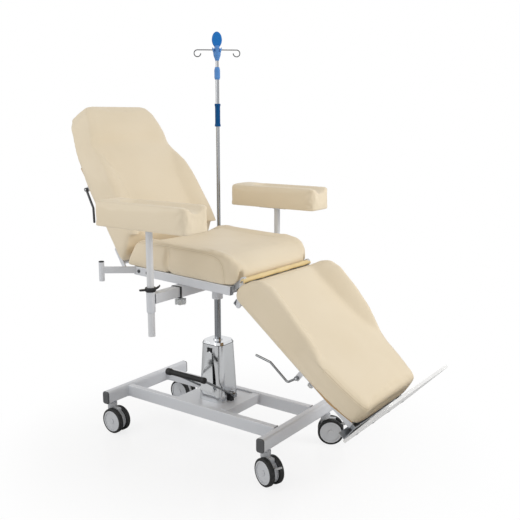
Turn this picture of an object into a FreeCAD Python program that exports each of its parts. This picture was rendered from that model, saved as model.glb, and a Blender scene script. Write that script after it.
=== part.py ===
import FreeCAD, Part
import math
import os

# Phlebotomy chair: a wheeled steel base with a foot-pumped column carries a seat frame
# with a reclining back, a folding leg rest, two movable armrests and an infusion pole.
# Millimetres. +Z is up, +X points to the foot end, -Y is the patient's right hand.
# Every piece is drawn with the column axis at X = 0 and is moved by column_x on export,
# so that the origin lies on the floor under the middle of the whole chair.

os.makedirs("parts", exist_ok=True)
V = FreeCAD.Vector

# Whole chair
column_x = -138.6
tube_corner = 4.0
tube_wall = 2.0
overrun = 5.0

# Wheeled base frame, welded from flat oval steel tube
base_top_z = 213.0
crossbar_width = 40.0
crossbar_height = 63.0
crossbar_half_length = 288.0
crossbar_front_x = 459.0
crossbar_rear_x = -480.0
base_rail_outer_y = 160.0
base_rail_width = 30.0
base_rail_height = 58.0
end_cap_dome = 8.0
end_cap_plug = 14.0
end_cap_gap = 0.3
cross_member_width = 40.0
cross_member_height = 46.0
mid_member_face_x = 153.0
rear_member_height = 30.0
rear_member_face_x = -160.0
pump_plate_thickness = 8.0
pump_plate_drop = 8.0

# Twin-wheel casters
caster_y = 250.0
caster_trail = 26.0
wheel_radius = 62.5
wheel_width = 24.0
tyre_thickness = 11.0
wheel_dish_radius = 46.0
wheel_dish_depth = 4.0
wheel_hub_radius = 12.0
housing_width = 21.0
housing_side_gap = 1.5
housing_radius = 47.0
caster_neck_radius = 23.0
caster_neck_height = 26.0
caster_top_gap = 1.0
kingpin_radius = 8.0
kingpin_length = 24.0
kingpin_plate_radius = 19.0
kingpin_plate_thickness = 3.0
running_gap = 0.05
axle_radius = 5.0
front_right_swivel = -18.5
front_left_swivel = 31.0
rear_right_swivel = 0.0
rear_left_swivel = 0.0
brake_pivot_reach = 34.0
brake_pivot_rise = 23.5
brake_cheek = 3.5
brake_side_gap = 0.3
brake_room = 1.0
brake_pin_radius = 4.0
brake_hub_radius = 8.0
brake_reach = 30.0
brake_pad_length = 10.0
brake_pad_thickness = 5.0
brake_pad_width = 30.0
brake_rise = 24.0

# Foot-pumped column
pump_foot_half_width = 74.0
pump_head_half_width = 62.0
pump_cover_top_z = 484.0
pump_lid_top_z = 498.0
pump_lid_inset = 4.0
pump_lid_seam = 1.5
pump_lid_plug = 6.0
pump_lid_gap = 0.5
pump_cover_wall = 2.5
pump_corner = 34.0
pump_collar_radius = 22.0
pump_collar_height = 5.0
rod_radius = 15.5
rod_lower_z = 412.0
rod_upper_z = 752.0
cylinder_outer_radius = 34.0
cylinder_top_z = 476.0
cylinder_floor = 3.0
gland_height = 20.0
piston_radius = 24.0
piston_height = 22.0
bore_gap = 0.06
flange_half_width = 48.0
flange_thickness = 12.0
flange_bolt_inset = 12.0
flange_bolt_head_radius = 9.0
flange_bolt_head_height = 7.0
shield_top_z = 448.0
shield_bottom_z = 262.0
shield_top_half_width = 14.0
shield_bottom_half_width = 40.0
shield_lift = 18.0
shield_slot_z = 452.0
shield_slot_height = 18.0
shield_thickness = 2.5

# Foot pedal of the pump
pedal_axis_z = 236.0
pedal_arm_x = 93.0
pedal_hub_width = 12.0
pedal_hub_radius = 12.0
pedal_side_gap = 0.5
pedal_grip_y = -236.0
pedal_grip_z = 380.0
pedal_rod_radius = 5.5
pedal_core_radius = 8.0
pedal_grip_radius = 12.0
pedal_grip_half_length = 116.0
pedal_grip_cap = 4.0
pedal_block_inner_x = 74.5
pedal_block_outer_x = 86.5
pedal_block_size = 24.0
pedal_bolt_inset = 2.0
pedal_bolt_radius = 6.0
pedal_bolt_head_radius = 11.0
pedal_bolt_head_height = 7.0

# Column head and seat frame, which leans down towards the foot end
head_bottom_z = 700.0
head_top_z = 770.0
head_plate_thickness = 10.0
head_outer_radius = 26.0
head_plate_front_x = 100.0
head_plate_rear_x = -62.0
head_plate_half_y = 56.0
head_riser_width = 42.0
seat_pivot_z = 822.0
seat_tilt = 2.3
seat_rail_outer_y = 285.0
seat_rail_width = 25.0
seat_rail_height = 40.0
seat_rail_rear_x = -262.0
seat_rail_front_x = 298.0
member_height = 28.0
member_width = 40.0
member_rear_x = -36.0
member_front_x = 75.0
end_member_rear_x = -180.0
end_member_front_x = 262.0
seat_board_thickness = 12.0
seat_board_rear_x = -200.0
seat_board_front_x = 260.0
board_edge_gap = 2.0
bolt_head_radius = 8.0
bolt_head_height = 5.0
bolt_spacing = 54.0
seat_bolt_x = -232.0
seat_lug_y = 245.0
seat_lug_foot_inset = 14.0

# Seat cushion, measured from the top of the seat rails
cushion_round = 16.0
seat_slot_radius = 36.0
seat_half_width = 300.0
seat_rear_x = -318.0
seat_front_x = 342.0
seat_side_height = 120.0
seat_crest_height = 142.0
seat_panel_height = 126.0
seat_rear_angle = 27.0
seat_channel_x = -50.0
seat_channel_radius = 9.0
seat_channel_depth = 5.0
edge_round = 12.0

# Back rest
back_hinge_x = -238.0
back_hinge_z = 857.0
back_origin_x = -342.7
back_origin_z = 874.3
back_lean_angle = 58.0
back_forward_range = 8.0
back_length = 783.0
back_half_width = 298.0
head_half_width = 278.0
head_crown_half_width = 236.0
head_top_half_width = 196.0
back_wing_height = 186.0
back_shoulder_height = 158.0
back_panel_height = 130.0
back_side_height = 145.0
head_height = 150.0
back_bottom_angle = -12.8
back_clear_gap = 4.0
back_middle_u = 440.0
back_upper_u = 640.0
back_wing_full_u = 290.0
back_wing_fall_u = 440.0
back_wing_end_u = 478.0
back_shoulder_u = 512.0
back_neck_u = 564.0
back_pillow_u = 664.0
back_crown_u = 731.0
back_neck_height = 125.0
back_tube_y = 165.0
back_tube_width = 25.0
back_tube_depth = 25.0
back_board_thickness = 10.0
back_board_half_width = 262.0
back_board_top_half_width = 185.0
back_board_inset = 30.0
hinge_plate_y = 254.0
hinge_plate_thickness = 6.0
hinge_plate_height = 20.0
hinge_plate_reach = 80.0
hinge_elbow_x = 27.0
hinge_elbow_drop = 1.5
hinge_pin_radius = 6.0
hinge_plate_gap = 0.5
lever_rod_radius = 5.0
lever_bend_radius = 14.0
lever_hub_radius = 9.0
lever_hub_width = 12.0
lever_pin_radius = 4.0
lever_mount_width = 22.0
lever_mount_thickness = 6.0
lever_mount_gap = 0.5
back_lever_y = -268.0
back_lever_radius = 5.5
back_lever_u = 408.0
back_lever_w = -29.0
back_lever_middle_u = 312.0
back_lever_middle_w = -37.0
back_lever_tip_u = 254.0
back_lever_tip_w = -70.0
back_lever_points = ((back_lever_u, back_lever_w), (back_lever_middle_u, back_lever_middle_w),
                     (back_lever_tip_u, back_lever_tip_w))

# Leg rest
leg_hinge_x = 345.0
leg_hinge_z = 880.0
leg_origin_x = 306.0
leg_origin_z = 805.0
leg_lean_angle = 38.5
leg_length = 728.0
leg_half_width = 286.0
leg_foot_half_width = 252.0
leg_bolster_height = 184.0
leg_side_height = 129.0
leg_panel_height = 102.0
leg_tube_y = 200.0
leg_tube_width = 34.0
leg_tube_depth = 28.0
leg_tube_wall = 3.0
leg_board_half_width = 250.0
leg_board_foot_half_width = 216.0
leg_board_inset = 24.0
leg_lug_y = 254.0
leg_lug_thickness = 6.0
leg_lug_radius = 11.0
leg_pin_radius = 5.0
leg_slot_gap = 2.0
leg_fold_angle = 15.0
leg_lever_y = -234.0
leg_lever_u = 424.0
leg_lever_w = -58.0
leg_lever_knee_u = 406.0
leg_lever_knee_w = -106.0
leg_lever_bend_u = 295.0
leg_lever_bend_w = -105.0
leg_lever_tip_u = 228.0
leg_lever_tip_w = -137.0
leg_lever_points = ((leg_lever_u, leg_lever_w), (leg_lever_knee_u, leg_lever_knee_w),
                    (leg_lever_bend_u, leg_lever_bend_w), (leg_lever_tip_u, leg_lever_tip_w))
leg_top_x = -9.0
leg_toe_height = 30.0
leg_bolster_start_u = 60.0
leg_bolster_full_u = 120.0
leg_bolster_fall_u = 345.0
leg_bolster_low_u = 415.0
leg_bolster_end_u = 466.0
leg_flat_u = 510.0
leg_taper_u = 594.0
leg_foot_u = 676.0
leg_tube_start = 36.0
leg_tube_inset = 16.0
leg_middle_u = 380.0
leg_slot_radius = 40.0
lock_knob_radius = 13.0
lock_knob_height = 13.0
lock_knob_u = 480.0
lock_stem_length = 8.0
lock_stem_gap = 6.0
knob_lobe_radius = 6.0
knob_lobes = 6

# Sliding foot rest
foot_slide_gap = 0.4
foot_slide_inside = 300.0
foot_plate_gap = 8.0
foot_plate_low = -56.0
foot_plate_high = 220.0
foot_plate_lean_angle = 5.7
foot_plate_thickness = 12.0
foot_plate_half_width = 294.0
foot_plate_corner = 28.0
foot_angle_thickness = 4.0
foot_angle_high = 16.0
foot_angle_depth = 34.0

# Armrests, the same on both sides
arm_y = 470.0
arm_x = 20.0
sleeve_size = 50.0
sleeve_wall = 2.5
sleeve_half_length = 304.0
sleeve_bush_length = 8.0
sleeve_bush_proud = 2.0
sleeve_bush_trim = 2.0
arm_bar_gap = 0.4
arm_bar_inner_y = 52.0
arm_socket_low_z = 735.0
arm_socket_high_z = 825.0
arm_socket_radius = 19.0
arm_socket_chamfer = 3.0
post_radius = 15.0
post_wall = 2.0
post_low_z = 631.0
post_high_z = 1084.0
post_plug_height = 10.0
collar_height = 19.0
collar_radius = 23.0
collar_wing_reach = 42.0
collar_wing_width = 13.0
collar_wing_angle = 60.0
clamp_gap = 0.3
star_knob_y = 284.0
star_knob_radius = 26.0
star_knob_height = 24.0
star_stem_radius = 5.0
star_stem_length = 14.0
star_stem_gap = 12.0
arm_pad_rear_x = -225.0
arm_pad_front_x = 286.0
arm_pad_half_width = 79.0
arm_pad_offset = 0.0
arm_pad_lift = 10.0
arm_pad_height = 112.0
arm_trough_depth = 26.0
arm_trough_start_x = -112.0
arm_plate_length = 160.0
arm_plate_width = 90.0
arm_plate_thickness = 5.0
spigot_length = 60.0
spigot_gap = 0.08
spigot_flange_radius = 22.0

# Infusion pole and its two sockets
iv_x = -328.0
iv_y = 422.5
iv_socket_low_z = 818.0
iv_socket_high_z = 905.0
iv_socket_radius = 12.5
iv_bore_gap = 0.1
iv_arm_height = 30.0
iv_arm_root_z = 854.0
iv_socket_floor = 5.0
iv_foot_gap = 0.3
iv_bush_height = 4.0
iv_arm_thickness = 12.0
iv_arm_root_x = -248.0
iv_arm_root_y = 272.0
iv_arm_z = 869.0
iv_tube_radius = 9.5
iv_tube_high_z = 1775.0
iv_grip_low_z = 1497.0
iv_grip_high_z = 1614.0
iv_grip_radius = 15.5
iv_grip_waist_radius = 13.5
iv_grip_flange_height = 8.0
iv_collar_low_z = 1737.0
iv_collar_high_z = 1800.0
iv_collar_radius = 15.0
iv_collar_rim_radius = 11.5
iv_upper_radius = 8.0
iv_upper_low_z = 1400.0
iv_hook_z = 1886.0
iv_hook_reach = 118.0
iv_hook_loop_radius = 17.0
iv_hook_wire_radius = 2.5
iv_hook_azimuth = 40.0
iv_hub_low_z = 1836.0
iv_hub_high_z = 1905.0
iv_hub_radius = 22.0
iv_hub_neck_radius = 13.0
iv_hub_cap = 12.0
iv_paddle_top_z = 1978.0
iv_paddle_half_width = 25.0
iv_paddle_half_depth = 8.0


def save(node, *solids):
    """Write one node, moved from the column's axis to the part's origin."""
    shape = Part.makeCompound(list(solids)) if len(solids) > 1 else solids[0].copy()
    shape.translate(V(column_x, 0, 0))
    shape.exportStep("parts/" + node + ".step")


def block(lows, highs):
    return Part.makeBox(highs[0] - lows[0], highs[1] - lows[1], highs[2] - lows[2], V(*lows))


def rounded_bar(axis, lows, highs, corner):
    """A bar along one axis with its four long edges rounded."""
    bar = block(lows, highs)
    along = V(*[1.0 if name == axis else 0 for name in "xyz"])
    edges = [edge for edge in bar.Edges
             if abs((edge.Vertexes[1].Point - edge.Vertexes[0].Point).normalize().dot(along)) > 0.9]
    return bar.makeFillet(corner, edges)


def rounded_tube(axis, lows, highs, corner, wall):
    """A hollow bar, open at both ends."""
    inner_low = list(lows)
    inner_high = list(highs)
    for index, name in enumerate("xyz"):
        step = -overrun if name == axis else wall
        inner_low[index] += step
        inner_high[index] -= step
    inner = rounded_bar(axis, inner_low, inner_high, max(corner - wall, 0.5 * wall))
    return rounded_bar(axis, lows, highs, corner).cut(inner)


def rod(start, end, radius):
    """A round bar from one point to another."""
    way = end.sub(start)
    return Part.makeCylinder(radius, way.Length, start, way)


def pipe(start, end, radius, bore):
    way = end.sub(start).normalize()
    hole = rod(start.sub(way * overrun), end.add(way * overrun), bore)
    return rod(start, end, radius).cut(hole)


def bent_rod(points, radius, bend):
    """A round rod through the points, with each corner bent to one radius."""
    edges = []
    last = points[0]
    for before, corner, after in zip(points, points[1:], points[2:]):
        back = before.sub(corner).normalize()
        ahead = after.sub(corner).normalize()
        half = 0.5 * back.getAngle(ahead)
        leg = bend / math.tan(half)
        middle = back.add(ahead).normalize() * (bend / math.sin(half) - bend)
        start = corner.add(back * leg)
        end = corner.add(ahead * leg)
        edges.append(Part.LineSegment(last, start).toShape())
        edges.append(Part.Arc(start, corner.add(middle), end).toShape())
        last = end
    edges.append(Part.LineSegment(last, points[-1]).toShape())
    path = Part.Wire(edges)
    way = points[1].sub(points[0])
    ring = Part.Wire([Part.Circle(points[0], way, radius).toShape()])
    return path.makePipeShell([ring], True, False)


def prism(points, low_y, high_y):
    """A flat outline in X and Z, given a thickness along Y."""
    corners = [V(x, low_y, z) for x, z in points]
    face = Part.Face(Part.makePolygon(corners + corners[:1]))
    return face.extrude(V(0, high_y - low_y, 0))


def lean(shape, angle, x, z):
    """Turn a shape drawn level at the origin about Y, then put its origin at x and z."""
    turned = shape.copy()
    turned.rotate(V(0, 0, 0), V(0, 1, 0), angle)
    turned.translate(V(x, 0, z))
    return turned


def on_seat(shape):
    return lean(shape, seat_tilt, 0, seat_pivot_z)


def on_back(shape):
    return lean(shape, back_lean_angle, back_origin_x, back_origin_z)


def on_leg(shape):
    return lean(shape, leg_lean_angle, leg_origin_x, leg_origin_z)


def into_frame(x, z, angle, origin_x, origin_z):
    """A point of the side view, told in a leaning frame."""
    turn = math.radians(angle)
    dx = x - origin_x
    dz = z - origin_z
    return dx * math.cos(turn) - dz * math.sin(turn), dx * math.sin(turn) + dz * math.cos(turn)


def cushion_section(half_width, base, side, crest, foot, centre, crest_share, foot_share):
    """One cross-section of a cushion in Y and Z, flat below, with raised sides.

    base, side, crest, foot and centre are heights: the underside, the top of the side
    wall, the raised edge roll, the foot of that roll and the middle of the panel."""
    draw_share = 0.035
    bulge_share = 0.012
    corner_share = 0.2
    roll_share = 0.08
    inner = half_width * (1 - draw_share)
    crest_y = half_width * crest_share
    foot_y = half_width * foot_share
    corner_y = half_width - (half_width - crest_y) * corner_share
    corner = V(0, corner_y, side + (crest - side) * (1 - corner_share))
    roll_lift = half_width * roll_share * 0.1
    roll = V(0, 0.5 * (crest_y + foot_y), 0.5 * (crest + foot) + roll_lift)
    bulge = V(0, half_width * (1 + bulge_share), 0.5 * (base + side))
    right = [
        (V(0, inner, base), bulge, V(0, half_width, side)),
        (V(0, half_width, side), corner, V(0, crest_y, crest)),
        (V(0, crest_y, crest), roll, V(0, foot_y, foot)),
    ]
    edges = [Part.LineSegment(V(0, -inner, base), V(0, inner, base)).toShape()]
    edges += [Part.Arc(*arc).toShape() for arc in right]
    edges.append(Part.Arc(V(0, foot_y, foot), V(0, 0, centre), V(0, -foot_y, foot)).toShape())
    for first, middle, last in reversed(right):
        mirrored = [V(0, -point.y, point.z) for point in (last, middle, first)]
        edges.append(Part.Arc(*mirrored).toShape())
    return Part.Wire(edges)


def cushion(stations):
    """Join cross-sections. A station is its place, its lean, and the section's sizes."""
    wires = []
    for place, angle, sizes in stations:
        wire = cushion_section(*sizes)
        wire.rotate(V(0, 0, 0), V(0, 1, 0), angle)
        wire.translate(V(place, 0, 0))
        wires.append(wire)
    return Part.makeLoft(wires, True, True)


# Wheeled base
crossbar_low_z = base_top_z - crossbar_height
half_crossbar = 0.5 * crossbar_width
crossbar_corner = 3.0 * tube_corner
rail_inner_y = base_rail_outer_y - base_rail_width
rail_low_z = base_top_z - base_rail_height
plate_top_z = base_top_z - pump_plate_drop
plate_low_z = plate_top_z - pump_plate_thickness
crossbars_x = (crossbar_front_x, crossbar_rear_x)


def base_crossbar(x):
    lows = [x - half_crossbar, -crossbar_half_length, crossbar_low_z]
    highs = [x + half_crossbar, crossbar_half_length, base_top_z]
    return rounded_tube("y", lows, highs, crossbar_corner, tube_wall)


def base_rail(side):
    low_y, high_y = sorted([side * rail_inner_y, side * base_rail_outer_y])
    lows = [crossbar_rear_x + half_crossbar, low_y, rail_low_z]
    highs = [crossbar_front_x - half_crossbar, high_y, base_top_z]
    return rounded_tube("x", lows, highs, tube_corner, tube_wall)


def pump_bed():
    """The cross member, the plate that the pump stands on and the member under its rear edge."""
    mid_lows = [mid_member_face_x - cross_member_width, -rail_inner_y, base_top_z - cross_member_height]
    mid_highs = [mid_member_face_x, rail_inner_y, base_top_z]
    plate = block([rear_member_face_x, -rail_inner_y, plate_low_z], [mid_lows[0], rail_inner_y, plate_top_z])
    rear_lows = [rear_member_face_x, -rail_inner_y, plate_low_z - rear_member_height]
    rear_highs = [rear_member_face_x + cross_member_width, rail_inner_y, plate_low_z]
    return [rounded_tube("y", mid_lows, mid_highs, tube_corner, tube_wall), plate,
            rounded_tube("y", rear_lows, rear_highs, tube_corner, tube_wall)]


def end_cap(x, side):
    """A domed cap whose plug fills the end of the crossbar."""
    inset = tube_wall + end_cap_gap
    low_y, high_y = sorted([side * (crossbar_half_length - end_cap_plug), side * crossbar_half_length])
    plug = rounded_bar("y", [x - half_crossbar + inset, low_y, crossbar_low_z + inset],
                       [x + half_crossbar - inset, high_y, base_top_z - inset], crossbar_corner - inset)
    face_y = side * (crossbar_half_length + end_cap_dome)
    low_y, high_y = sorted([side * crossbar_half_length, face_y])
    dome = rounded_bar("y", [x - half_crossbar, low_y, crossbar_low_z],
                       [x + half_crossbar, high_y, base_top_z], crossbar_corner)
    rim = [edge for edge in dome.Edges
           if all(abs(vertex.Y - face_y) < 0.1 * end_cap_dome for vertex in edge.Vertexes)]
    return plug.fuse(dome.makeFillet(0.6 * end_cap_dome, rim)).removeSplitter()


save("base_end_caps", *[end_cap(x, side) for x in crossbars_x for side in (-1, 1)])

# Casters, drawn about their swivel axis
pin_low_z = crossbar_low_z - kingpin_plate_thickness - kingpin_length
caster_top_z = crossbar_low_z - kingpin_plate_thickness - caster_top_gap
housing_half = 0.5 * housing_width
wheel_inner_y = housing_half + housing_side_gap
brake_pivot = V(caster_trail + brake_pivot_reach, 0, wheel_radius + brake_pivot_rise)
brake_half = housing_half - brake_cheek
casters = {
    "front_right": (crossbar_front_x, -caster_y, front_right_swivel),
    "front_left": (crossbar_front_x, caster_y, front_left_swivel),
    "rear_right": (crossbar_rear_x, -caster_y, rear_right_swivel),
    "rear_left": (crossbar_rear_x, caster_y, rear_left_swivel),
}


def at_caster(shape, name):
    """Put a caster piece at its corner of the base."""
    x, y, swivel = casters[name]
    placed = shape.copy()
    placed.rotate(V(0, 0, 0), V(0, 0, 1), swivel)
    placed.translate(V(x, y, 0))
    return placed


def across(radius, half_width, centre, low_y=None):
    """A cylinder along Y about a point, between two widths."""
    start = -half_width if low_y is None else low_y
    return Part.makeCylinder(radius, half_width - start, V(centre.x, centre.y + start, centre.z), V(0, 1, 0))


wheel_centre = V(caster_trail, 0, wheel_radius)


def caster_mount():
    """The plate under the crossbar and the kingpin that the caster turns on."""
    plate_z = crossbar_low_z - kingpin_plate_thickness
    plate = Part.makeCylinder(kingpin_plate_radius, kingpin_plate_thickness, V(0, 0, plate_z))
    pin = Part.makeCylinder(kingpin_radius, kingpin_length, V(0, 0, pin_low_z))
    return plate.fuse(pin).removeSplitter()


def caster_housing(braked):
    """The body between the wheels, its neck, and the bores for kingpin and axle."""
    neck_low_z = caster_top_z - caster_neck_height
    disc = across(housing_radius, housing_half, wheel_centre)
    bridge = block([-caster_neck_radius, -housing_half, wheel_radius],
                   [caster_trail + 0.5 * housing_radius, housing_half, neck_low_z + overrun])
    neck = Part.makeCylinder(caster_neck_radius, caster_neck_height, V(0, 0, neck_low_z))
    body = disc.fuse([bridge, neck]).removeSplitter()
    arch = across(wheel_radius + housing_side_gap, 2 * housing_radius, wheel_centre)
    arch = arch.cut(block([-housing_radius, -housing_half, 0],
                          [3 * housing_radius, housing_half, base_top_z]))
    pin_bore = Part.makeCylinder(kingpin_radius + running_gap, kingpin_length + overrun,
                                 V(0, 0, pin_low_z - caster_top_gap))
    axle_bore = across(axle_radius + running_gap, housing_width, wheel_centre)
    body = body.cut([arch, pin_bore, axle_bore])
    if braked:
        room = across(brake_hub_radius + brake_room, brake_half, brake_pivot)
        pin = across(brake_pin_radius, housing_half - brake_room, brake_pivot)
        body = body.cut(room).fuse(pin).removeSplitter()
    return body


def wheel_core(side):
    """A dished wheel core with a hub cap."""
    outer_y = wheel_inner_y + wheel_width
    low_y, high_y = sorted([side * wheel_inner_y, side * outer_y])
    core = across(wheel_radius - tyre_thickness, high_y, wheel_centre, low_y)
    dish_low, dish_high = sorted([side * (outer_y - wheel_dish_depth), side * (outer_y + overrun)])
    cap_low, cap_high = sorted([side * (outer_y - wheel_dish_depth), side * outer_y])
    dish = across(wheel_dish_radius, dish_high, wheel_centre, dish_low)
    return core.cut(dish).fuse(across(wheel_hub_radius, cap_high, wheel_centre, cap_low))


def tyre(side):
    low_y, high_y = sorted([side * wheel_inner_y, side * (wheel_inner_y + wheel_width)])
    ring = across(wheel_radius, high_y, wheel_centre, low_y)
    ring = ring.makeFillet(0.5 * tyre_thickness, [edge for edge in ring.Edges if len(edge.Vertexes) == 1])
    return ring.cut(across(wheel_radius - tyre_thickness, high_y + overrun, wheel_centre, low_y - overrun))


def caster_wheels():
    """Both wheel cores on their axle, which turn together."""
    axle = across(axle_radius, wheel_inner_y, wheel_centre)
    return wheel_core(-1).fuse([axle, wheel_core(1)]).removeSplitter()


def brake_pedal():
    """The toe pedal, pivoted in a slot on the trailing side of the housing."""
    half = brake_half - brake_side_gap
    arm = block([0, -half, -0.5 * brake_pad_thickness], [brake_reach, half, 0.5 * brake_pad_thickness])
    pad = block([brake_reach - brake_pad_thickness, -0.5 * brake_pad_width, -brake_pad_thickness],
                [brake_reach + brake_pad_length, 0.5 * brake_pad_width, 0.5 * brake_pad_thickness])
    toe = arm.fuse(pad)
    toe.rotate(V(0, 0, 0), V(0, 1, 0), -brake_rise)
    toe.translate(brake_pivot)
    hub = across(brake_hub_radius, half, brake_pivot)
    return hub.fuse(toe).removeSplitter().cut(across(brake_pin_radius + running_gap, 2 * half, brake_pivot))


base_parts = [base_crossbar(x) for x in crossbars_x] + [base_rail(side) for side in (-1, 1)] + pump_bed()
base_parts += [at_caster(caster_mount(), name) for name in casters]
save("base_frame", *base_parts)
braked = ("front_right", "front_left")
for name in casters:
    save("caster_housing_" + name, at_caster(caster_housing(name in braked), name))
    save("caster_wheels_" + name, at_caster(caster_wheels(), name))
    save("caster_tyres_" + name, at_caster(tyre(-1), name), at_caster(tyre(1), name))
for name in braked:
    save("brake_pedal_" + name, at_caster(brake_pedal(), name))

# Pump and column
rod_bore_radius = rod_radius + bore_gap
piston_bore_radius = piston_radius + bore_gap
gland_low_z = cylinder_top_z - gland_height


def rounded_square(half_width, z):
    """A square outline with large round corners."""
    flat = half_width - pump_corner
    bend = flat + pump_corner * math.sqrt(0.5)
    edges = []
    for step in range(4):
        turn = math.radians(90 * step)

        def at(x, y):
            return V(x * math.cos(turn) - y * math.sin(turn), x * math.sin(turn) + y * math.cos(turn), z)

        edges.append(Part.LineSegment(at(half_width, -flat), at(half_width, flat)).toShape())
        edges.append(Part.Arc(at(half_width, flat), at(bend, bend), at(flat, half_width)).toShape())
    return Part.Wire(edges)


def four_sided(foot_half, foot_z, top_half, top_z):
    return Part.makeLoft([rounded_square(foot_half, foot_z), rounded_square(top_half, top_z)], True, True)


def cover_half(z):
    """Half width of the pump cover at a height."""
    share = (z - plate_top_z) / (pump_cover_top_z - plate_top_z)
    return pump_foot_half_width + (pump_head_half_width - pump_foot_half_width) * share


def pump_shield():
    """The flared tongue on the near side of the cover."""
    rings = []
    for z, half, lift in ((shield_top_z, shield_top_half_width, 0),
                          (shield_bottom_z, shield_bottom_half_width, shield_lift)):
        near = -cover_half(z) - lift
        far = near - shield_thickness
        points = [V(-half, near, z), V(half, near, z), V(half, far, z), V(-half, far, z)]
        rings.append(Part.makePolygon(points + points[:1]))
    return Part.makeLoft(rings, True, True)


def pump_cover():
    wall = pump_cover_wall
    shell = four_sided(pump_foot_half_width, plate_top_z, pump_head_half_width, pump_cover_top_z)
    low_z = plate_top_z - overrun
    high_z = pump_cover_top_z + overrun
    room = four_sided(cover_half(low_z) - wall, low_z, cover_half(high_z) - wall, high_z)
    slot_half = cover_half(shield_slot_z)
    slot = block([-shield_top_half_width, -slot_half - overrun, shield_slot_z],
                 [shield_top_half_width, -slot_half + 2 * wall, shield_slot_z + shield_slot_height])
    return shell.cut(room).cut(slot).fuse(pump_shield()).removeSplitter()


def pump_lid():
    """The cap on the cover: a plug, the lid above the seam, and a collar round the rod."""
    lid_low_z = pump_cover_top_z + pump_lid_seam
    plug_half = pump_head_half_width - pump_cover_wall - end_cap_gap - pump_lid_inset
    plug = four_sided(plug_half, pump_cover_top_z - pump_lid_plug, plug_half, lid_low_z)
    lid = four_sided(pump_head_half_width, lid_low_z, pump_head_half_width - pump_lid_inset, pump_lid_top_z)
    collar = Part.makeCylinder(pump_collar_radius, pump_collar_height, V(0, 0, pump_lid_top_z))
    bore = Part.makeCylinder(rod_radius + pump_lid_gap, 3 * pump_cover_top_z, V(0, 0, 0))
    return plug.fuse([lid, collar]).removeSplitter().cut(bore)


def pump_cylinder():
    """The cylinder on its flange, open at the top for the gland."""
    flange = block([-flange_half_width, -flange_half_width, plate_top_z],
                   [flange_half_width, flange_half_width, plate_top_z + flange_thickness])
    barrel = Part.makeCylinder(cylinder_outer_radius, cylinder_top_z - plate_top_z, V(0, 0, plate_top_z))
    floor = plate_top_z + flange_thickness + cylinder_floor
    return flange.fuse(barrel).cut(Part.makeCylinder(piston_bore_radius, cylinder_top_z, V(0, 0, floor)))


def pump_gland():
    """The ring that closes the cylinder and guides the rod."""
    ring = Part.makeCylinder(piston_radius, gland_height, V(0, 0, gland_low_z))
    bore = Part.makeCylinder(rod_bore_radius, 3 * gland_height, V(0, 0, gland_low_z - gland_height))
    return ring.cut(bore)


def hexagon(radius, height):
    """A hexagonal bolt head standing on the origin."""
    points = [V(radius * math.cos(math.radians(60 * step)), radius * math.sin(math.radians(60 * step)), 0)
              for step in range(6)]
    return Part.Face(Part.makePolygon(points + points[:1])).extrude(V(0, 0, height))


def pedal_bolt(side):
    """The bolt that one pedal arm turns on, through its pivot block."""
    shank_start = side * (pedal_block_inner_x + pedal_bolt_inset)
    head_x = pedal_arm_x + 0.5 * pedal_hub_width + pedal_side_gap
    shank = rod(V(shank_start, 0, pedal_axis_z), V(side * head_x, 0, pedal_axis_z), pedal_bolt_radius)
    head = hexagon(pedal_bolt_head_radius, pedal_bolt_head_height)
    head.rotate(V(0, 0, 0), V(0, 1, 0), side * 90)
    head.translate(V(side * head_x, 0, pedal_axis_z))
    return shank.fuse(head)


def flange_bolt(x, y):
    head = hexagon(flange_bolt_head_radius, flange_bolt_head_height)
    head.translate(V(x, y, plate_top_z + flange_thickness))
    return head


bolt_at = flange_half_width - flange_bolt_inset
flange_bolts = [flange_bolt(x * bolt_at, y * bolt_at) for x in (-1, 1) for y in (-1, 1)]
piston = Part.makeCylinder(piston_radius, piston_height, V(0, 0, rod_lower_z))
column = Part.makeCylinder(rod_radius, rod_upper_z - rod_lower_z, V(0, 0, rod_lower_z))
save("pump_cover", pump_cover(), pump_lid())
save("pump_cylinder", pump_cylinder(), pump_gland())
save("pump_bolts", *(flange_bolts + [pedal_bolt(side) for side in (-1, 1)]))
save("column_rod", piston.fuse(column).removeSplitter())

# Foot pedal


def pedal_block(side):
    """The black block at the foot of the cover that holds one pivot bolt."""
    low_x, high_x = sorted([side * pedal_block_inner_x, side * pedal_block_outer_x])
    half = 0.5 * pedal_block_size
    body = rounded_bar("x", [low_x, -half, plate_top_z], [high_x, half, pedal_axis_z + half], tube_corner)
    return body.cut(rod(V(low_x - overrun, 0, pedal_axis_z), V(high_x + overrun, 0, pedal_axis_z),
                        pedal_bolt_radius))


def pedal_frame():
    """Two arms on their hubs, joined by the rod inside the grip."""
    grip_start = V(-pedal_grip_half_length + pedal_grip_cap, pedal_grip_y, pedal_grip_z)
    grip_end = V(pedal_grip_half_length - pedal_grip_cap, pedal_grip_y, pedal_grip_z)
    pieces = [rod(grip_start, grip_end, pedal_core_radius)]
    holes = []
    for side in (-1, 1):
        x = side * pedal_arm_x
        half = 0.5 * pedal_hub_width
        pieces.append(rod(V(x, 0, pedal_axis_z), V(x, pedal_grip_y, pedal_grip_z), pedal_rod_radius))
        pieces.append(rod(V(x - half, 0, pedal_axis_z), V(x + half, 0, pedal_axis_z), pedal_hub_radius))
        holes.append(rod(V(x - 2 * half, 0, pedal_axis_z), V(x + 2 * half, 0, pedal_axis_z),
                         pedal_bolt_radius + running_gap))
    return pieces[0].fuse(pieces[1:]).removeSplitter().cut(holes)


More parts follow.
